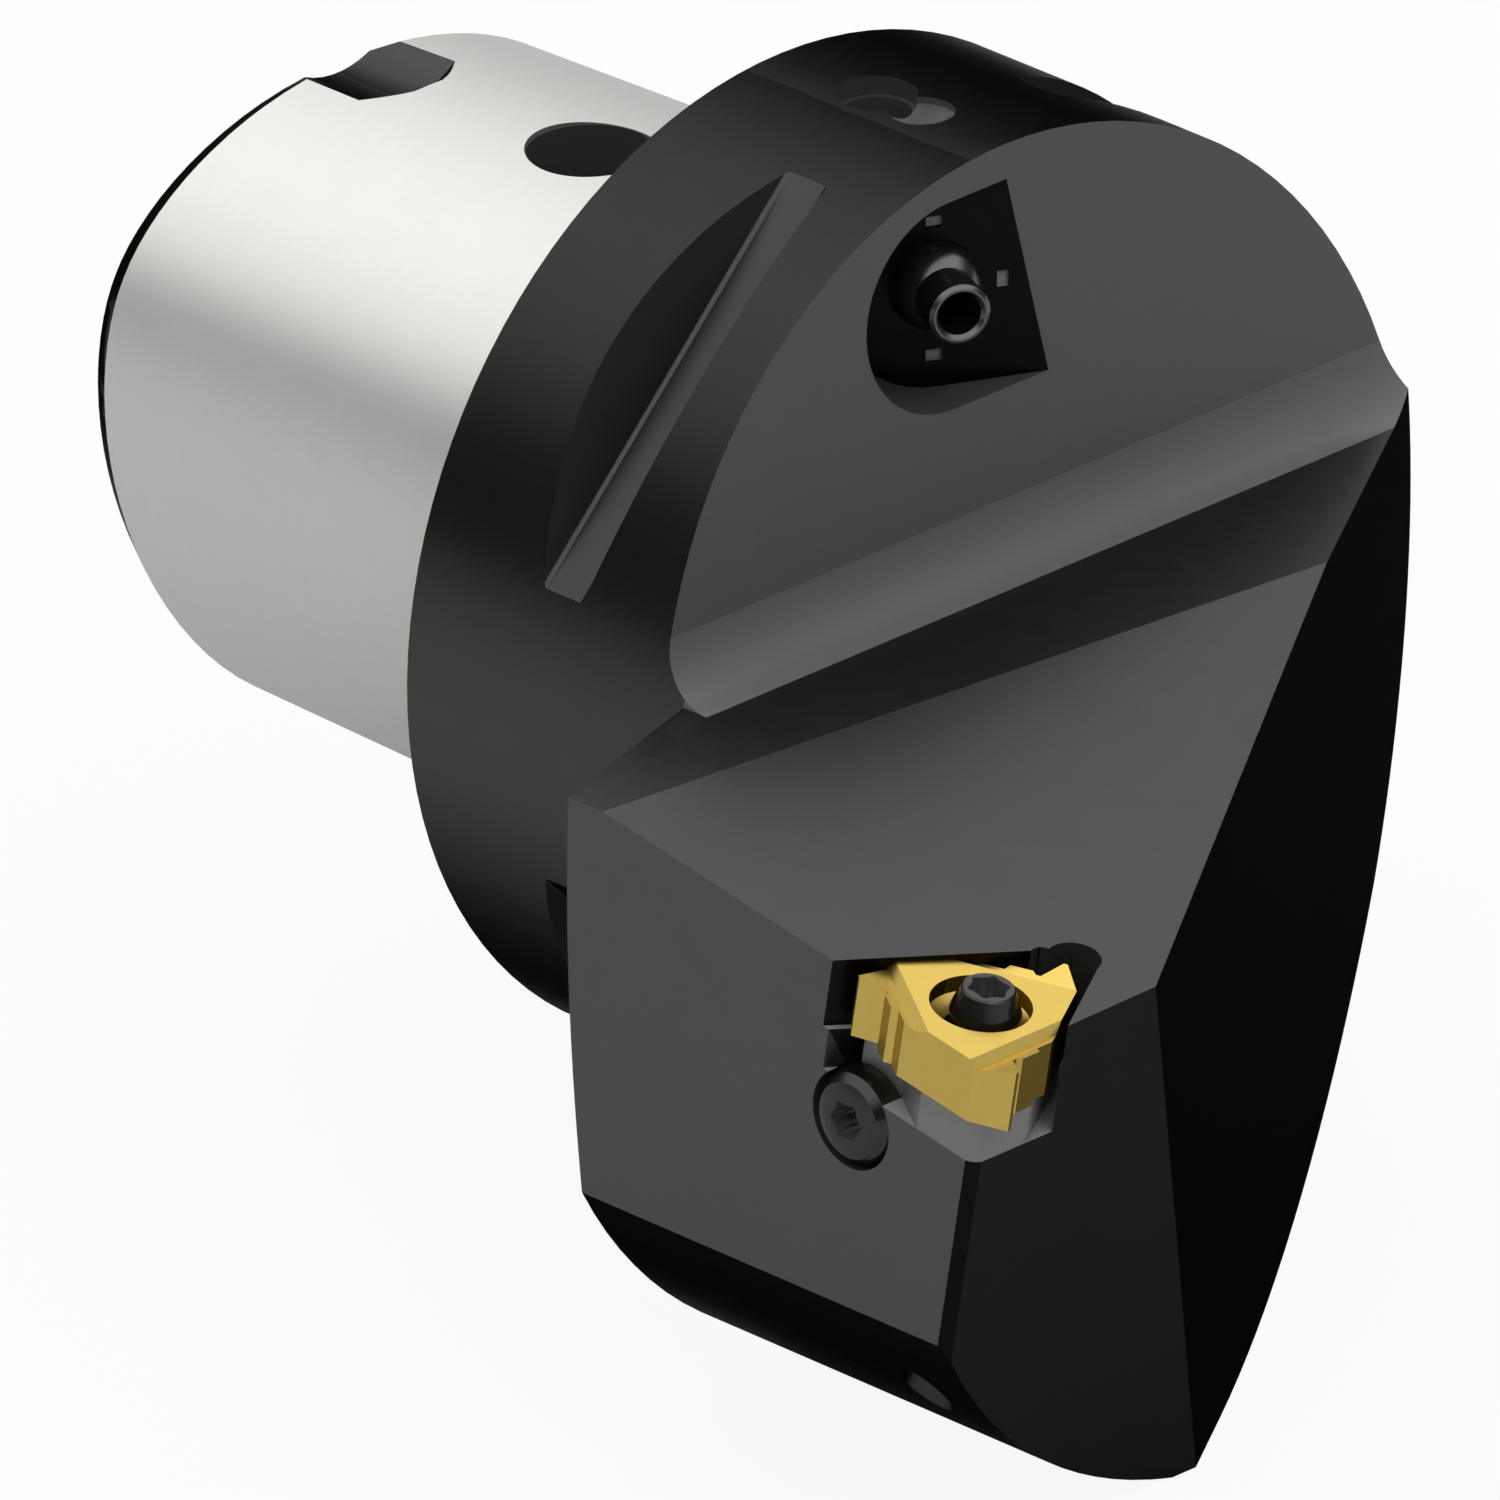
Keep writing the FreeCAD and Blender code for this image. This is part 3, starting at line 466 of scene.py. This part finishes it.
def thread_tree():
    """Closed screw shell: a grid bent round an axis, its wall waved along the helix. The
    grid's first row and its last two rows close the shell."""
    tree, source, sink = new_group(
        "screw_thread", "GeometryNodeTree",
        [("Radius", "NodeSocketFloat", 0.002), ("Length", "NodeSocketFloat", 0.01),
         ("Pitch", "NodeSocketFloat", 0.0007), ("Depth", "NodeSocketFloat", 0.0004),
         ("End Radius", "NodeSocketFloat", 0.0), ("Sleeve", "NodeSocketFloat", 0.0),
         ("Sides", "NodeSocketInt", 40), ("Steps", "NodeSocketInt", 120),
         ("Material", "NodeSocketMaterial", None)],
        [("Geometry", "NodeSocketGeometry")])
    get = source.outputs
    rows = maths(tree, "ADD", get["Steps"], 3.0)
    around = maths(tree, "ADD", get["Sides"], 1.0)
    grid = add_node(tree, "GeometryNodeMeshGrid", {"Size X": 1.0, "Size Y": 1.0,
                                                   "Vertices X": around, "Vertices Y": rows})
    place = add_node(tree, "GeometryNodeInputPosition")
    parts = add_node(tree, "ShaderNodeSeparateXYZ", {0: place.outputs[0]})
    turn = maths(tree, "ADD", parts.outputs["X"], 0.5)
    angle = maths(tree, "MULTIPLY", turn, math.tau)
    up = maths(tree, "ADD", parts.outputs["Y"], 0.5)
    last = maths(tree, "SUBTRACT", rows, 1.0)
    row = maths(tree, "MULTIPLY", up, last)
    steps = maths(tree, "SUBTRACT", get["Steps"], 1.0)
    share = maths(tree, "DIVIDE", maths(tree, "SUBTRACT", row, 1.0), steps, clamp=True)
    level = maths(tree, "MULTIPLY", share, get["Length"])
    closing = maths(tree, "GREATER_THAN", row, maths(tree, "ADD", get["Steps"], 1.5))
    back = maths(tree, "SUBTRACT", 1.0, maths(tree, "MULTIPLY", closing, get["Sleeve"]))
    level = maths(tree, "MULTIPLY", level, back)
    inside = maths(tree, "MULTIPLY", maths(tree, "GREATER_THAN", row, 0.5),
                   maths(tree, "LESS_THAN", row, maths(tree, "ADD", get["Steps"], 0.5)))
    phase = maths(tree, "FRACT", maths(tree, "SUBTRACT",
                                       maths(tree, "DIVIDE", level, get["Pitch"]), turn))
    swing = maths(tree, "SUBTRACT", maths(tree, "MULTIPLY", phase, 2.0), 1.0)
    wave = maths(tree, "ABSOLUTE", swing)
    groove = maths(tree, "MULTIPLY", maths(tree, "SUBTRACT", wave, RIDGE_CREST), RIDGE_SLOPE,
                   clamp=True)
    rise = maths(tree, "DIVIDE", level, get["Pitch"], clamp=True)
    fall = maths(tree, "DIVIDE", maths(tree, "SUBTRACT", get["Length"], level), get["Pitch"],
                 clamp=True)
    ends = maths(tree, "MULTIPLY", rise, fall)
    cut = maths(tree, "MULTIPLY", maths(tree, "MULTIPLY", groove, get["Depth"]), ends)
    wall = maths(tree, "SUBTRACT", get["Radius"], cut)
    radius = maths(tree, "ADD", maths(tree, "MULTIPLY", wall, inside),
                   maths(tree, "MULTIPLY", get["End Radius"],
                         maths(tree, "SUBTRACT", 1.0, inside)))
    x = maths(tree, "MULTIPLY", radius, maths(tree, "COSINE", angle))
    y = maths(tree, "MULTIPLY", radius, maths(tree, "SINE", angle))
    bent = add_node(tree, "ShaderNodeCombineXYZ", {"X": x, "Y": y, "Z": level})
    moved = add_node(tree, "GeometryNodeSetPosition", {"Geometry": grid.outputs["Mesh"],
                                                       "Position": bent.outputs[0]})
    closed = add_node(tree, "GeometryNodeMergeByDistance", {"Geometry": moved.outputs[0],
                                                            "Distance": THREAD_WELD})
    real = add_node(tree, "GeometryNodeRealizeInstances", {"Geometry": closed.outputs[0]})
    dressed = add_node(tree, "GeometryNodeSetMaterial", {"Geometry": real.outputs[0],
                                                         "Material": get["Material"]})
    tree.links.new(dressed.outputs[0], sink.inputs["Geometry"])
    return tree


def thread_mesh(name, material, matrix, **sizes):
    """Plain mesh of one thread, placed by a matrix, with its faces outward."""
    tree = shared_group("screw_thread", thread_tree)
    host = new_object(name + "_maker", bpy.data.meshes.new(name + "_maker"))
    modifier = host.modifiers.new("thread", "NODES")
    modifier.node_group = tree
    wanted = {key.replace("_", " ").title(): value for key, value in sizes.items()}
    wanted["Material"] = material
    for item in tree.interface.items_tree:
        if item.in_out == "INPUT" and item.name in wanted:
            modifier[item.identifier] = wanted[item.name]
    bpy.context.view_layer.update()
    evaluated = host.evaluated_get(bpy.context.evaluated_depsgraph_get())
    mesh = bpy.data.meshes.new_from_object(evaluated)
    host.modifiers.clear()
    bpy.data.objects.remove(host)
    mesh.name = name
    mesh.transform(matrix)
    shell = bmesh.new()
    shell.from_mesh(mesh)
    bmesh.ops.recalc_face_normals(shell, faces=shell.faces)
    shell.to_mesh(mesh)
    shell.free()
    return mesh


def keep_above(obj, matrix, level):
    """Cuts a mesh across an axis, keeps the part above a level and closes the cut."""
    point = matrix @ Vector((0.0, 0.0, level * MM))
    axis = (matrix.to_3x3() @ Vector((0.0, 0.0, 1.0))).normalized()
    shell = bmesh.new()
    shell.from_mesh(obj.data)
    everything = shell.verts[:] + shell.edges[:] + shell.faces[:]
    bmesh.ops.bisect_plane(shell, geom=everything, plane_co=point, plane_no=axis,
                           clear_inner=True, dist=SLIVER)
    rim = [edge for edge in shell.edges if edge.is_boundary]
    bmesh.ops.holes_fill(shell, edges=rim)
    shell.to_mesh(obj.data)
    shell.free()


def join_mesh(obj, mesh):
    """Adds a second closed shell to a piece."""
    shell = bmesh.new()
    shell.from_mesh(obj.data)
    shell.from_mesh(mesh)
    shell.to_mesh(obj.data)
    shell.free()
    bpy.data.meshes.remove(mesh)


# Finishes of the pieces

def facet_number(face):
    """Number of the named flat face in which a face lies, or -1."""
    centre = face.center / MM
    for number, (_, direction, distance, _) in enumerate(FACETS):
        if face.normal.dot(direction) < SAME_DIRECTION:
            continue
        if distance is None:
            inside = centre.x > NECK_END_X
        else:
            inside = abs(centre.dot(direction) - distance) < SAME_PLANE
        if inside:
            return number
    return -1


def facet_numbers(mesh):
    """For each face, the number of its named flat face, or -1, also all round the rim."""
    return [-1 if on_rim(face) else facet_number(face) for face in mesh.polygons]


def in_fillet(centre):
    """True on the round fillet between the neck and the head's top."""
    return FILLET_X[0] < centre.x < FILLET_X[1] and FILLET_Z[0] < centre.z < FILLET_Z[1]


def in_seat(centre):
    """True on the walls round the insert and the shim."""
    level = (centre - SEAT_CENTRE).dot(SEAT_UP)
    return centre.x > SEAT_BACK_X and centre.y > SEAT_LEFT_Y and level > -SEAT_DEPTH


def seat_wall_painted_shade(face):
    """Painted shade on a wall of the seat, and 1 on the matt relief arcs between the walls."""
    steps = math.degrees(math.atan2(face.normal.y, face.normal.x)) / SEAT_WALL_STEP
    straight = abs(steps - round(steps)) < SEAT_WALL_SLACK
    return (SEAT_WALL_PAINTED_SHADE, 0.0) if straight else (SEAT_RELIEF_PAINTED_SHADE, 1.0)


def rim_painted_light(point):
    """Painted light and shade on the flange's rim: painted darker on top and painted lighter on
    the insert's side.
    """
    turn = math.atan2(-point.y, point.z)
    share = min(max((turn - RIM_TURN[0]) / (RIM_TURN[1] - RIM_TURN[0]), 0.0), 1.0)
    return RIM_PAINTED_LIGHT[0] + (RIM_PAINTED_LIGHT[1] - RIM_PAINTED_LIGHT[0]) * share * share * (3.0 - 2.0 * share)


def on_rim(face, end=NECK_END_X):
    """True on the round rim of the flange and the neck, up to an end in X."""
    centre = face.center / MM
    sunk = FLANGE_R - math.hypot(centre.y, centre.z)
    if centre.x > end or not -RIM_RISE < sunk < RIM_SAG:
        return False
    return face.normal.dot(rim_normal(centre)) > RIM_COS


def face_painted_light(face, number):
    """Painted light and shade on one face of the body, a factor on the black colour, and 1 where
    it is matt.
    """
    if number >= 0:
        name, _, _, painted_light = FACETS[number]
        return painted_light, float(name in MATT_FACETS)
    centre = face.center / MM
    if on_rim(face):
        return 1.0, 0.0
    if in_seat(centre):
        return seat_wall_painted_shade(face)
    for _, middle, axis, radius, depth, painted_light in HOLLOWS:
        away = centre - middle
        along = away.dot(axis)
        across = away - axis * along
        outside = face.normal.dot(across) > HOLLOW_OUTWARD * across.length
        if abs(along) < depth and across.length < radius and not outside:
            return painted_light, 1.0
    if in_fillet(centre):
        return FILLET_PAINTED_LIGHT, 1.0
    return 1.0, 0.0


def shank_normal(point):
    """Outward direction of the polygon taper at a point in millimetres."""
    across = math.atan2(point.z, point.y)
    angle = across
    mean = SHANK_R + SHANK_TAPER * point.x
    for _ in range(ANGLE_ROUNDS):
        phase = 3.0 * (angle - math.pi / 2.0)
        reach = mean - SHANK_E * math.cos(phase)
        slope = 3.0 * SHANK_E * math.sin(phase)
        angle += ANGLE_STEP * (across - angle - math.atan2(slope, reach))
    return Vector((-SHANK_TAPER, math.cos(angle), math.sin(angle))).normalized()


def is_shank(face):
    """True on the ground outside of the polygon taper."""
    centre = face.center / MM
    if not SHANK_REAR_X < centre.x < SHANK_FRONT_X:
        return False
    if abs(math.hypot(centre.y, centre.z) - SHANK_R - SHANK_TAPER * centre.x) > SHANK_SWING:
        return False
    return face.normal.dot(shank_normal(centre)) > SHANK_COS


def exact_normals(obj, rule):
    """Area-weighted corner normals, and exact ones on faces for which a rule gives them."""
    obj.modifiers.new("weighted", "WEIGHTED_NORMAL").keep_sharp = True
    bpy.context.view_layer.update()
    graph = bpy.context.evaluated_depsgraph_get()
    mesh = bpy.data.meshes.new_from_object(obj.evaluated_get(graph),
                                           preserve_all_data_layers=True, depsgraph=graph)
    obj.modifiers.clear()
    plain = obj.data
    obj.data = mesh
    bpy.data.meshes.remove(plain)
    mesh.name = obj.name + "_mesh"
    normals = [corner.vector.copy() for corner in mesh.corner_normals]
    for face in mesh.polygons:
        wanted = rule(face)
        if wanted is None:
            continue
        for corner in face.loop_indices:
            normals[corner] = wanted(mesh.vertices[mesh.loops[corner].vertex_index].co / MM)
    mesh.normals_split_custom_set(normals)


def rim_normal(point):
    """Outward direction of the round flange and neck."""
    return Vector((0.0, point.y, point.z)).normalized()


def body_normal_rule(face):
    """The function that gives exact normals on a face of the body, or None."""
    if face.material_index == 1:
        return shank_normal
    return rim_normal if on_rim(face, ROUND_END_X) else None


def paint_body(mesh, numbers):
    """Gives each face of the body its material, its painted light and shade, and whether it is
    matt.
    """
    painted_light_list, dull = [], []
    for face, number in zip(mesh.polygons, numbers):
        painted_light, matt = face_painted_light(face, number)
        dull.append(matt)
        rim = on_rim(face)
        for corner in face.loop_indices:
            point = mesh.vertices[mesh.loops[corner].vertex_index].co / MM
            painted_light_list.append(rim_painted_light(point) if rim else painted_light)
        face.material_index = 1 if is_shank(face) else 0
    spread_attribute(mesh, "painted_light_tone", painted_light_list, "CORNER")
    spread_attribute(mesh, "matt", dull)


def draw_thread(material, pitch, ridge):
    """The draw-in thread, a sleeve that lines its hole in the shank."""
    length = (DRAW_THREAD_END - DRAW_THREAD_START) * MM
    matrix = aimed(Vector((DRAW_THREAD_START, 0.0, 0.0)), Vector((1.0, 0.0, 0.0)))
    mesh = thread_mesh("draw_thread_visual", material, matrix, radius=DRAW_THREAD_R * MM,
                       length=length, pitch=pitch, depth=pitch * ridge,
                       end_radius=(DRAW_THREAD_R + DRAW_THREAD_WALL) * MM, sleeve=1.0,
                       sides=DRAW_THREAD_SIDES, steps=int(length / pitch * DRAW_THREAD_RINGS))
    spread_attribute(mesh, "painted_light_tone", [DRAW_THREAD_TONE] * len(mesh.polygons))
    thread = new_object("draw_thread_visual", mesh)
    crease(mesh)
    return thread


class HOLDER_OT_body(bpy.types.Operator):
    """Dress the body: black oxide all over with painted light and shade on its faces, ground
    steel on the polygon taper
    """
    bl_idname = "holder.body"
    bl_label = "Body"

    def execute(self, context):
        finish = context.scene.holder_finish
        threads = context.scene.holder_threads
        body = merged_copy("tool_body", "body_visual")
        numbers = facet_numbers(body.data)
        black = metal_material("black_oxide", finish.black_oxide, roughness=0.3,
                               grain=(1.0, 0.3, 0.3), grain_strength=0.06, mottle=0.08,
                               edge_tint=0.08, painted_light="painted_light_tone", matt="matt")
        steel = metal_material("ground_steel", finish.ground_steel, roughness=0.52,
                               metallic=0.85, grain=(1.0, 0.04, 0.04), grain_strength=0.1,
                               mottle=0.04, rough_swing=0.1)
        body.data.materials.append(black)
        body.data.materials.append(steel)
        paint_body(body.data, numbers)
        crease(body.data, facet=numbers)
        exact_normals(body, body_normal_rule)
        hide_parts("tool_body")
        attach(body, "holder")
        thread = draw_thread(black, threads.draw_thread_pitch, threads.ridge_share)
        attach(thread, "holder")
        return {"FINISHED"}


class HOLDER_OT_wear_pieces(bpy.types.Operator):
    """Dress the threading insert in gold and the shim in grey hard metal"""
    bl_idname = "holder.wear_pieces"
    bl_label = "Insert and shim"

    def execute(self, context):
        finish = context.scene.holder_finish
        gold = metal_material("gold_coating", finish.gold_coating, roughness=0.34,
                              grain=(0.2, 1.0, 0.2), grain_strength=0.15, mottle=0.06,
                              mottle_size=0.002, edge_tint=0.4, painted_light="painted_light_tone")
        grey = metal_material("ground_shim", finish.shim_grey, roughness=0.42, metallic=0.6,
                              grain=(0.1, 1.0, 1.0), grain_strength=0.15, mottle=0.1,
                              mottle_size=0.002)
        for node, name, material, body, slot in (
                ("cutting_insert", "insert_visual", gold, "insert", "insert"),
                ("shim", "shim_visual", grey, "shim", "shim")):
            piece = merged_copy(node, name)
            piece.data.materials.append(material)
            if node == "cutting_insert":
                # Painted shade on the insert's flank over the front facet
                flank_painted_shade = [FLANK_PAINTED_SHADE if face.normal.dot(FLANK_DIRECTION) > FLANK_COS else 1.0
                         for face in piece.data.polygons]
                spread_attribute(piece.data, "painted_light_tone", flank_painted_shade)
            crease(piece.data, WEAR_CREASE)
            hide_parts(node)
            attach(piece, body)
        return {"FINISHED"}


def socket_painted_highlights(mesh, matrix):
    """Painted highlight on a screw's faces: socket walls painted bright, 1 elsewhere."""
    inverse = matrix.inverted()
    turn = inverse.to_3x3()
    painted_light_list = []
    for face in mesh.polygons:
        place = inverse @ face.center / MM
        away = Vector((place.x, place.y, 0.0))
        inward = (turn @ face.normal).dot(away) < -SOCKET_INWARD * away.length
        painted_light_list.append(SOCKET_PAINTED_HIGHLIGHT if inward and place.z > SOCKET_LEVEL else 1.0)
    return painted_light_list


class HOLDER_OT_screws(bpy.types.Operator):
    """Dress the two six-lobe screws and cut their threads"""
    bl_idname = "holder.screws"
    bl_label = "Screws"

    def execute(self, context):
        finish = context.scene.holder_finish
        threads = context.scene.holder_threads
        black = metal_material("screw_black", finish.screw_black, roughness=0.19,
                               metallic=0.9, grain_strength=0.05, mottle=0.15,
                               mottle_size=0.0015, painted_light="painted_light_tone")
        jobs = (
            ("insert_screw", "insert_screw_visual", "insert_screw", insert_screw_matrix(),
             SCREW_THREAD_TOP, SCREW_END, SCREW_THREAD_R, threads.insert_screw_pitch),
            ("shim_screw", "shim_screw_visual", "shim_screw",
             aimed(SIDE_SCREW_PLACE, Vector((0.0, -1.0, 0.0))), SIDE_SCREW_THREAD_TOP,
             SIDE_SCREW_END, SIDE_SCREW_THREAD_R, threads.shim_screw_pitch),
        )
        for node, name, body, matrix, top, end, radius, pitch in jobs:
            piece = merged_copy(node, name)
            keep_above(piece, matrix, top - HEAD_STUB)
            start = matrix @ Matrix.Translation(Vector((0.0, 0.0, end * MM)))
            length = (top - THREAD_DROP - end) * MM
            mesh = thread_mesh(name + "_thread", black, start, radius=radius * MM,
                               length=length, pitch=pitch, depth=pitch * threads.ridge_share,
                               end_radius=0.0, sleeve=0.0, sides=threads.sides,
                               steps=int(length / pitch * SCREW_RINGS))
            join_mesh(piece, mesh)
            # Painted highlight on the walls of the socket
            spread_attribute(piece.data, "painted_light_tone", socket_painted_highlights(piece.data, matrix))
            piece.data.materials.clear()
            piece.data.materials.append(black)
            crease(piece.data, SCREW_CREASE)
            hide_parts(node)
            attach(piece, body)
        return {"FINISHED"}


class HOLDER_OT_nozzle(bpy.types.Operator):
    """Dress the coolant nozzle"""
    bl_idname = "holder.nozzle"
    bl_label = "Coolant nozzle"

    def execute(self, context):
        finish = context.scene.holder_finish
        black = metal_material("nozzle_black", finish.nozzle_black, roughness=0.24,
                               metallic=0.95, grain_strength=0.05, mottle=0.1,
                               mottle_size=0.0015)
        piece = merged_copy("coolant_nozzle", "nozzle_visual")
        piece.data.materials.append(black)
        crease(piece.data)
        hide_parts("coolant_nozzle")
        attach(piece, "nozzle")
        return {"FINISHED"}


# Studio

# Camera: its place in metres, and the turn and rise at which it looks back at the object
EYE = Vector((2.47201, -2.47538, 1.61307))
TURN = math.radians(45.0)
RISE = math.radians(25.0)
BACK = Vector((math.cos(RISE) * math.cos(TURN), -math.cos(RISE) * math.sin(TURN),
               math.sin(RISE)))
SENSOR = 36.0
# The lamps' aim, and each lamp's name, direction from the object, distance, width, height
# and power
AIM = Vector((0.03, -0.02, 0.0))
LAMPS = (
    ("key_lamp", (-0.75, 0.35, 1.15), 1.6, 1.0, 0.8, 0.65),
    ("key_halo", (-0.75, 0.35, 1.15), 1.6, 1.9, 1.6, 2.3),
    ("front_lamp", (0.95, -0.25, 0.9), 1.8, 0.9, 0.9, 1.0),
)
# Height of a sky direction and its share of the full level: dark walls, bright ceiling
SKY_STOPS = ((0.0, 0.05), (0.30, 0.09), (0.40, 0.20), (0.60, 0.9), (0.68, 1.1), (1.0, 0.95))
# Shade of the floor as it lights and mirrors in the object, and as the camera sees it
FLOOR_GREY = 0.6
FLOOR_SEEN = 0.9


def floor_material(glow):
    """White floor that keeps a soft shadow, with plain white mixed in for the camera."""
    material = bpy.data.materials.new("white_floor")
    material.use_nodes = True
    tree = material.node_tree
    tree.nodes.clear()
    path = add_node(tree, "ShaderNodeLightPath")
    shade = maths(tree, "MULTIPLY_ADD", path.outputs["Is Camera Ray"], FLOOR_SEEN - FLOOR_GREY)
    shade.node.inputs[2].default_value = FLOOR_GREY
    matte = add_node(tree, "ShaderNodeBsdfDiffuse", {"Color": shade})
    white = add_node(tree, "ShaderNodeEmission", {"Color": (1.0, 1.0, 1.0, 1.0),
                                                  "Strength": 1.0})
    share = maths(tree, "MULTIPLY", path.outputs["Is Camera Ray"], glow)
    mixed = add_node(tree, "ShaderNodeMixShader", {0: share, 1: matte.outputs[0],
                                                   2: white.outputs[0]})
    add_node(tree, "ShaderNodeOutputMaterial", {"Surface": mixed.outputs[0]})
    return material


def studio_sky(level):
    """Sky of a studio: grey walls that turn into a bright ceiling."""
    world = bpy.data.worlds.new("studio")
    world.use_nodes = True
    tree = world.node_tree
    sky = tree.nodes["Background"]
    place = add_node(tree, "ShaderNodeTexCoord")
    parts = add_node(tree, "ShaderNodeSeparateXYZ", {0: place.outputs["Generated"]})
    ramp = add_node(tree, "ShaderNodeValToRGB", {0: parts.outputs["Z"]})
    ramp.color_ramp.interpolation = "EASE"
    stops = ramp.color_ramp.elements
    while len(stops) < len(SKY_STOPS):
        stops.new(0.5)
    for stop, (height, share) in zip(stops, SKY_STOPS):
        stop.position = height
        stop.color = (share, share, share, 1.0)
    tree.links.new(ramp.outputs["Color"], sky.inputs["Color"])
    sky.inputs["Strength"].default_value = level
    return world


class HOLDER_OT_studio(bpy.types.Operator):
    """Set up the floor, the lamps, the sky and the camera"""
    bl_idname = "holder.studio"
    bl_label = "Studio"

    def execute(self, context):
        scene = context.scene
        studio = scene.holder_studio
        half = studio.floor_size / 2
        mesh = bpy.data.meshes.new("floor")
        z = FLOOR_Z * MM
        corners = [(-half, -half, z), (half, -half, z), (half, half, z), (-half, half, z)]
        mesh.from_pydata(corners, [], [(0, 1, 2, 3)])
        floor = new_object("floor", mesh)
        mesh.materials.append(floor_material(studio.floor_glow))
        for name, direction, distance, width, height, power in LAMPS:
            lamp = bpy.data.lights.new(name, "AREA")
            lamp.shape = "RECTANGLE"
            lamp.size = width
            lamp.size_y = height
            lamp.energy = power
            away = Vector(direction).normalized()
            holder = link(bpy.data.objects.new(name, lamp))
            holder.location = AIM + away * distance
            holder.rotation_euler = away.to_track_quat("Z", "Y").to_euler()
        scene.world = studio_sky(studio.sky_level)
        eye = bpy.data.cameras.new("camera")
        eye.sensor_width = SENSOR
        eye.lens = studio.lens
        camera = link(bpy.data.objects.new("camera", eye))
        camera.location = EYE
        camera.rotation_euler = BACK.to_track_quat("Z", "Y").to_euler()
        scene.camera = camera
        scene.view_settings.view_transform = "Standard"
        return {"FINISHED"}


class HOLDER_PT_sidebar(bpy.types.Panel):
    """Sidebar panel that lists the pieces and their settings"""
    bl_idname = "HOLDER_PT_sidebar"
    bl_label = "Tool holder"
    bl_space_type = "VIEW_3D"
    bl_region_type = "UI"
    bl_category = "Tool holder"

    def draw(self, context):
        """Lists the settings in one box per group, then the operators."""
        layout = self.layout
        for group in ("holder_finish", "holder_threads", "holder_studio"):
            settings = getattr(context.scene, group)
            box = layout.box()
            for name in settings.bl_rna.properties.keys():
                if name not in ("rna_type", "name"):
                    box.prop(settings, name)
        for operator in OPERATORS:
            layout.operator(operator.bl_idname)


OPERATORS = (HOLDER_OT_body, HOLDER_OT_wear_pieces, HOLDER_OT_screws, HOLDER_OT_nozzle,
             HOLDER_OT_studio)
GROUPS = (HolderFinishSettings, HolderThreadSettings, HolderStudioSettings)


def register():
    """Adds the classes and the scene's settings."""
    for cls in GROUPS + OPERATORS + (HOLDER_PT_sidebar,):
        bpy.utils.register_class(cls)
    bpy.types.Scene.holder_finish = PointerProperty(type=HolderFinishSettings)
    bpy.types.Scene.holder_threads = PointerProperty(type=HolderThreadSettings)
    bpy.types.Scene.holder_studio = PointerProperty(type=HolderStudioSettings)


def unregister():
    """Takes the settings and the classes away again."""
    del bpy.types.Scene.holder_studio
    del bpy.types.Scene.holder_threads
    del bpy.types.Scene.holder_finish
    for cls in reversed(GROUPS + OPERATORS + (HOLDER_PT_sidebar,)):
        bpy.utils.unregister_class(cls)


def main():
    register()
    bpy.ops.holder.body()
    bpy.ops.holder.wear_pieces()
    bpy.ops.holder.screws()
    bpy.ops.holder.nozzle()
    bpy.ops.holder.studio()
    bpy.context.view_layer.update()


if __name__ == "__main__":
    main()
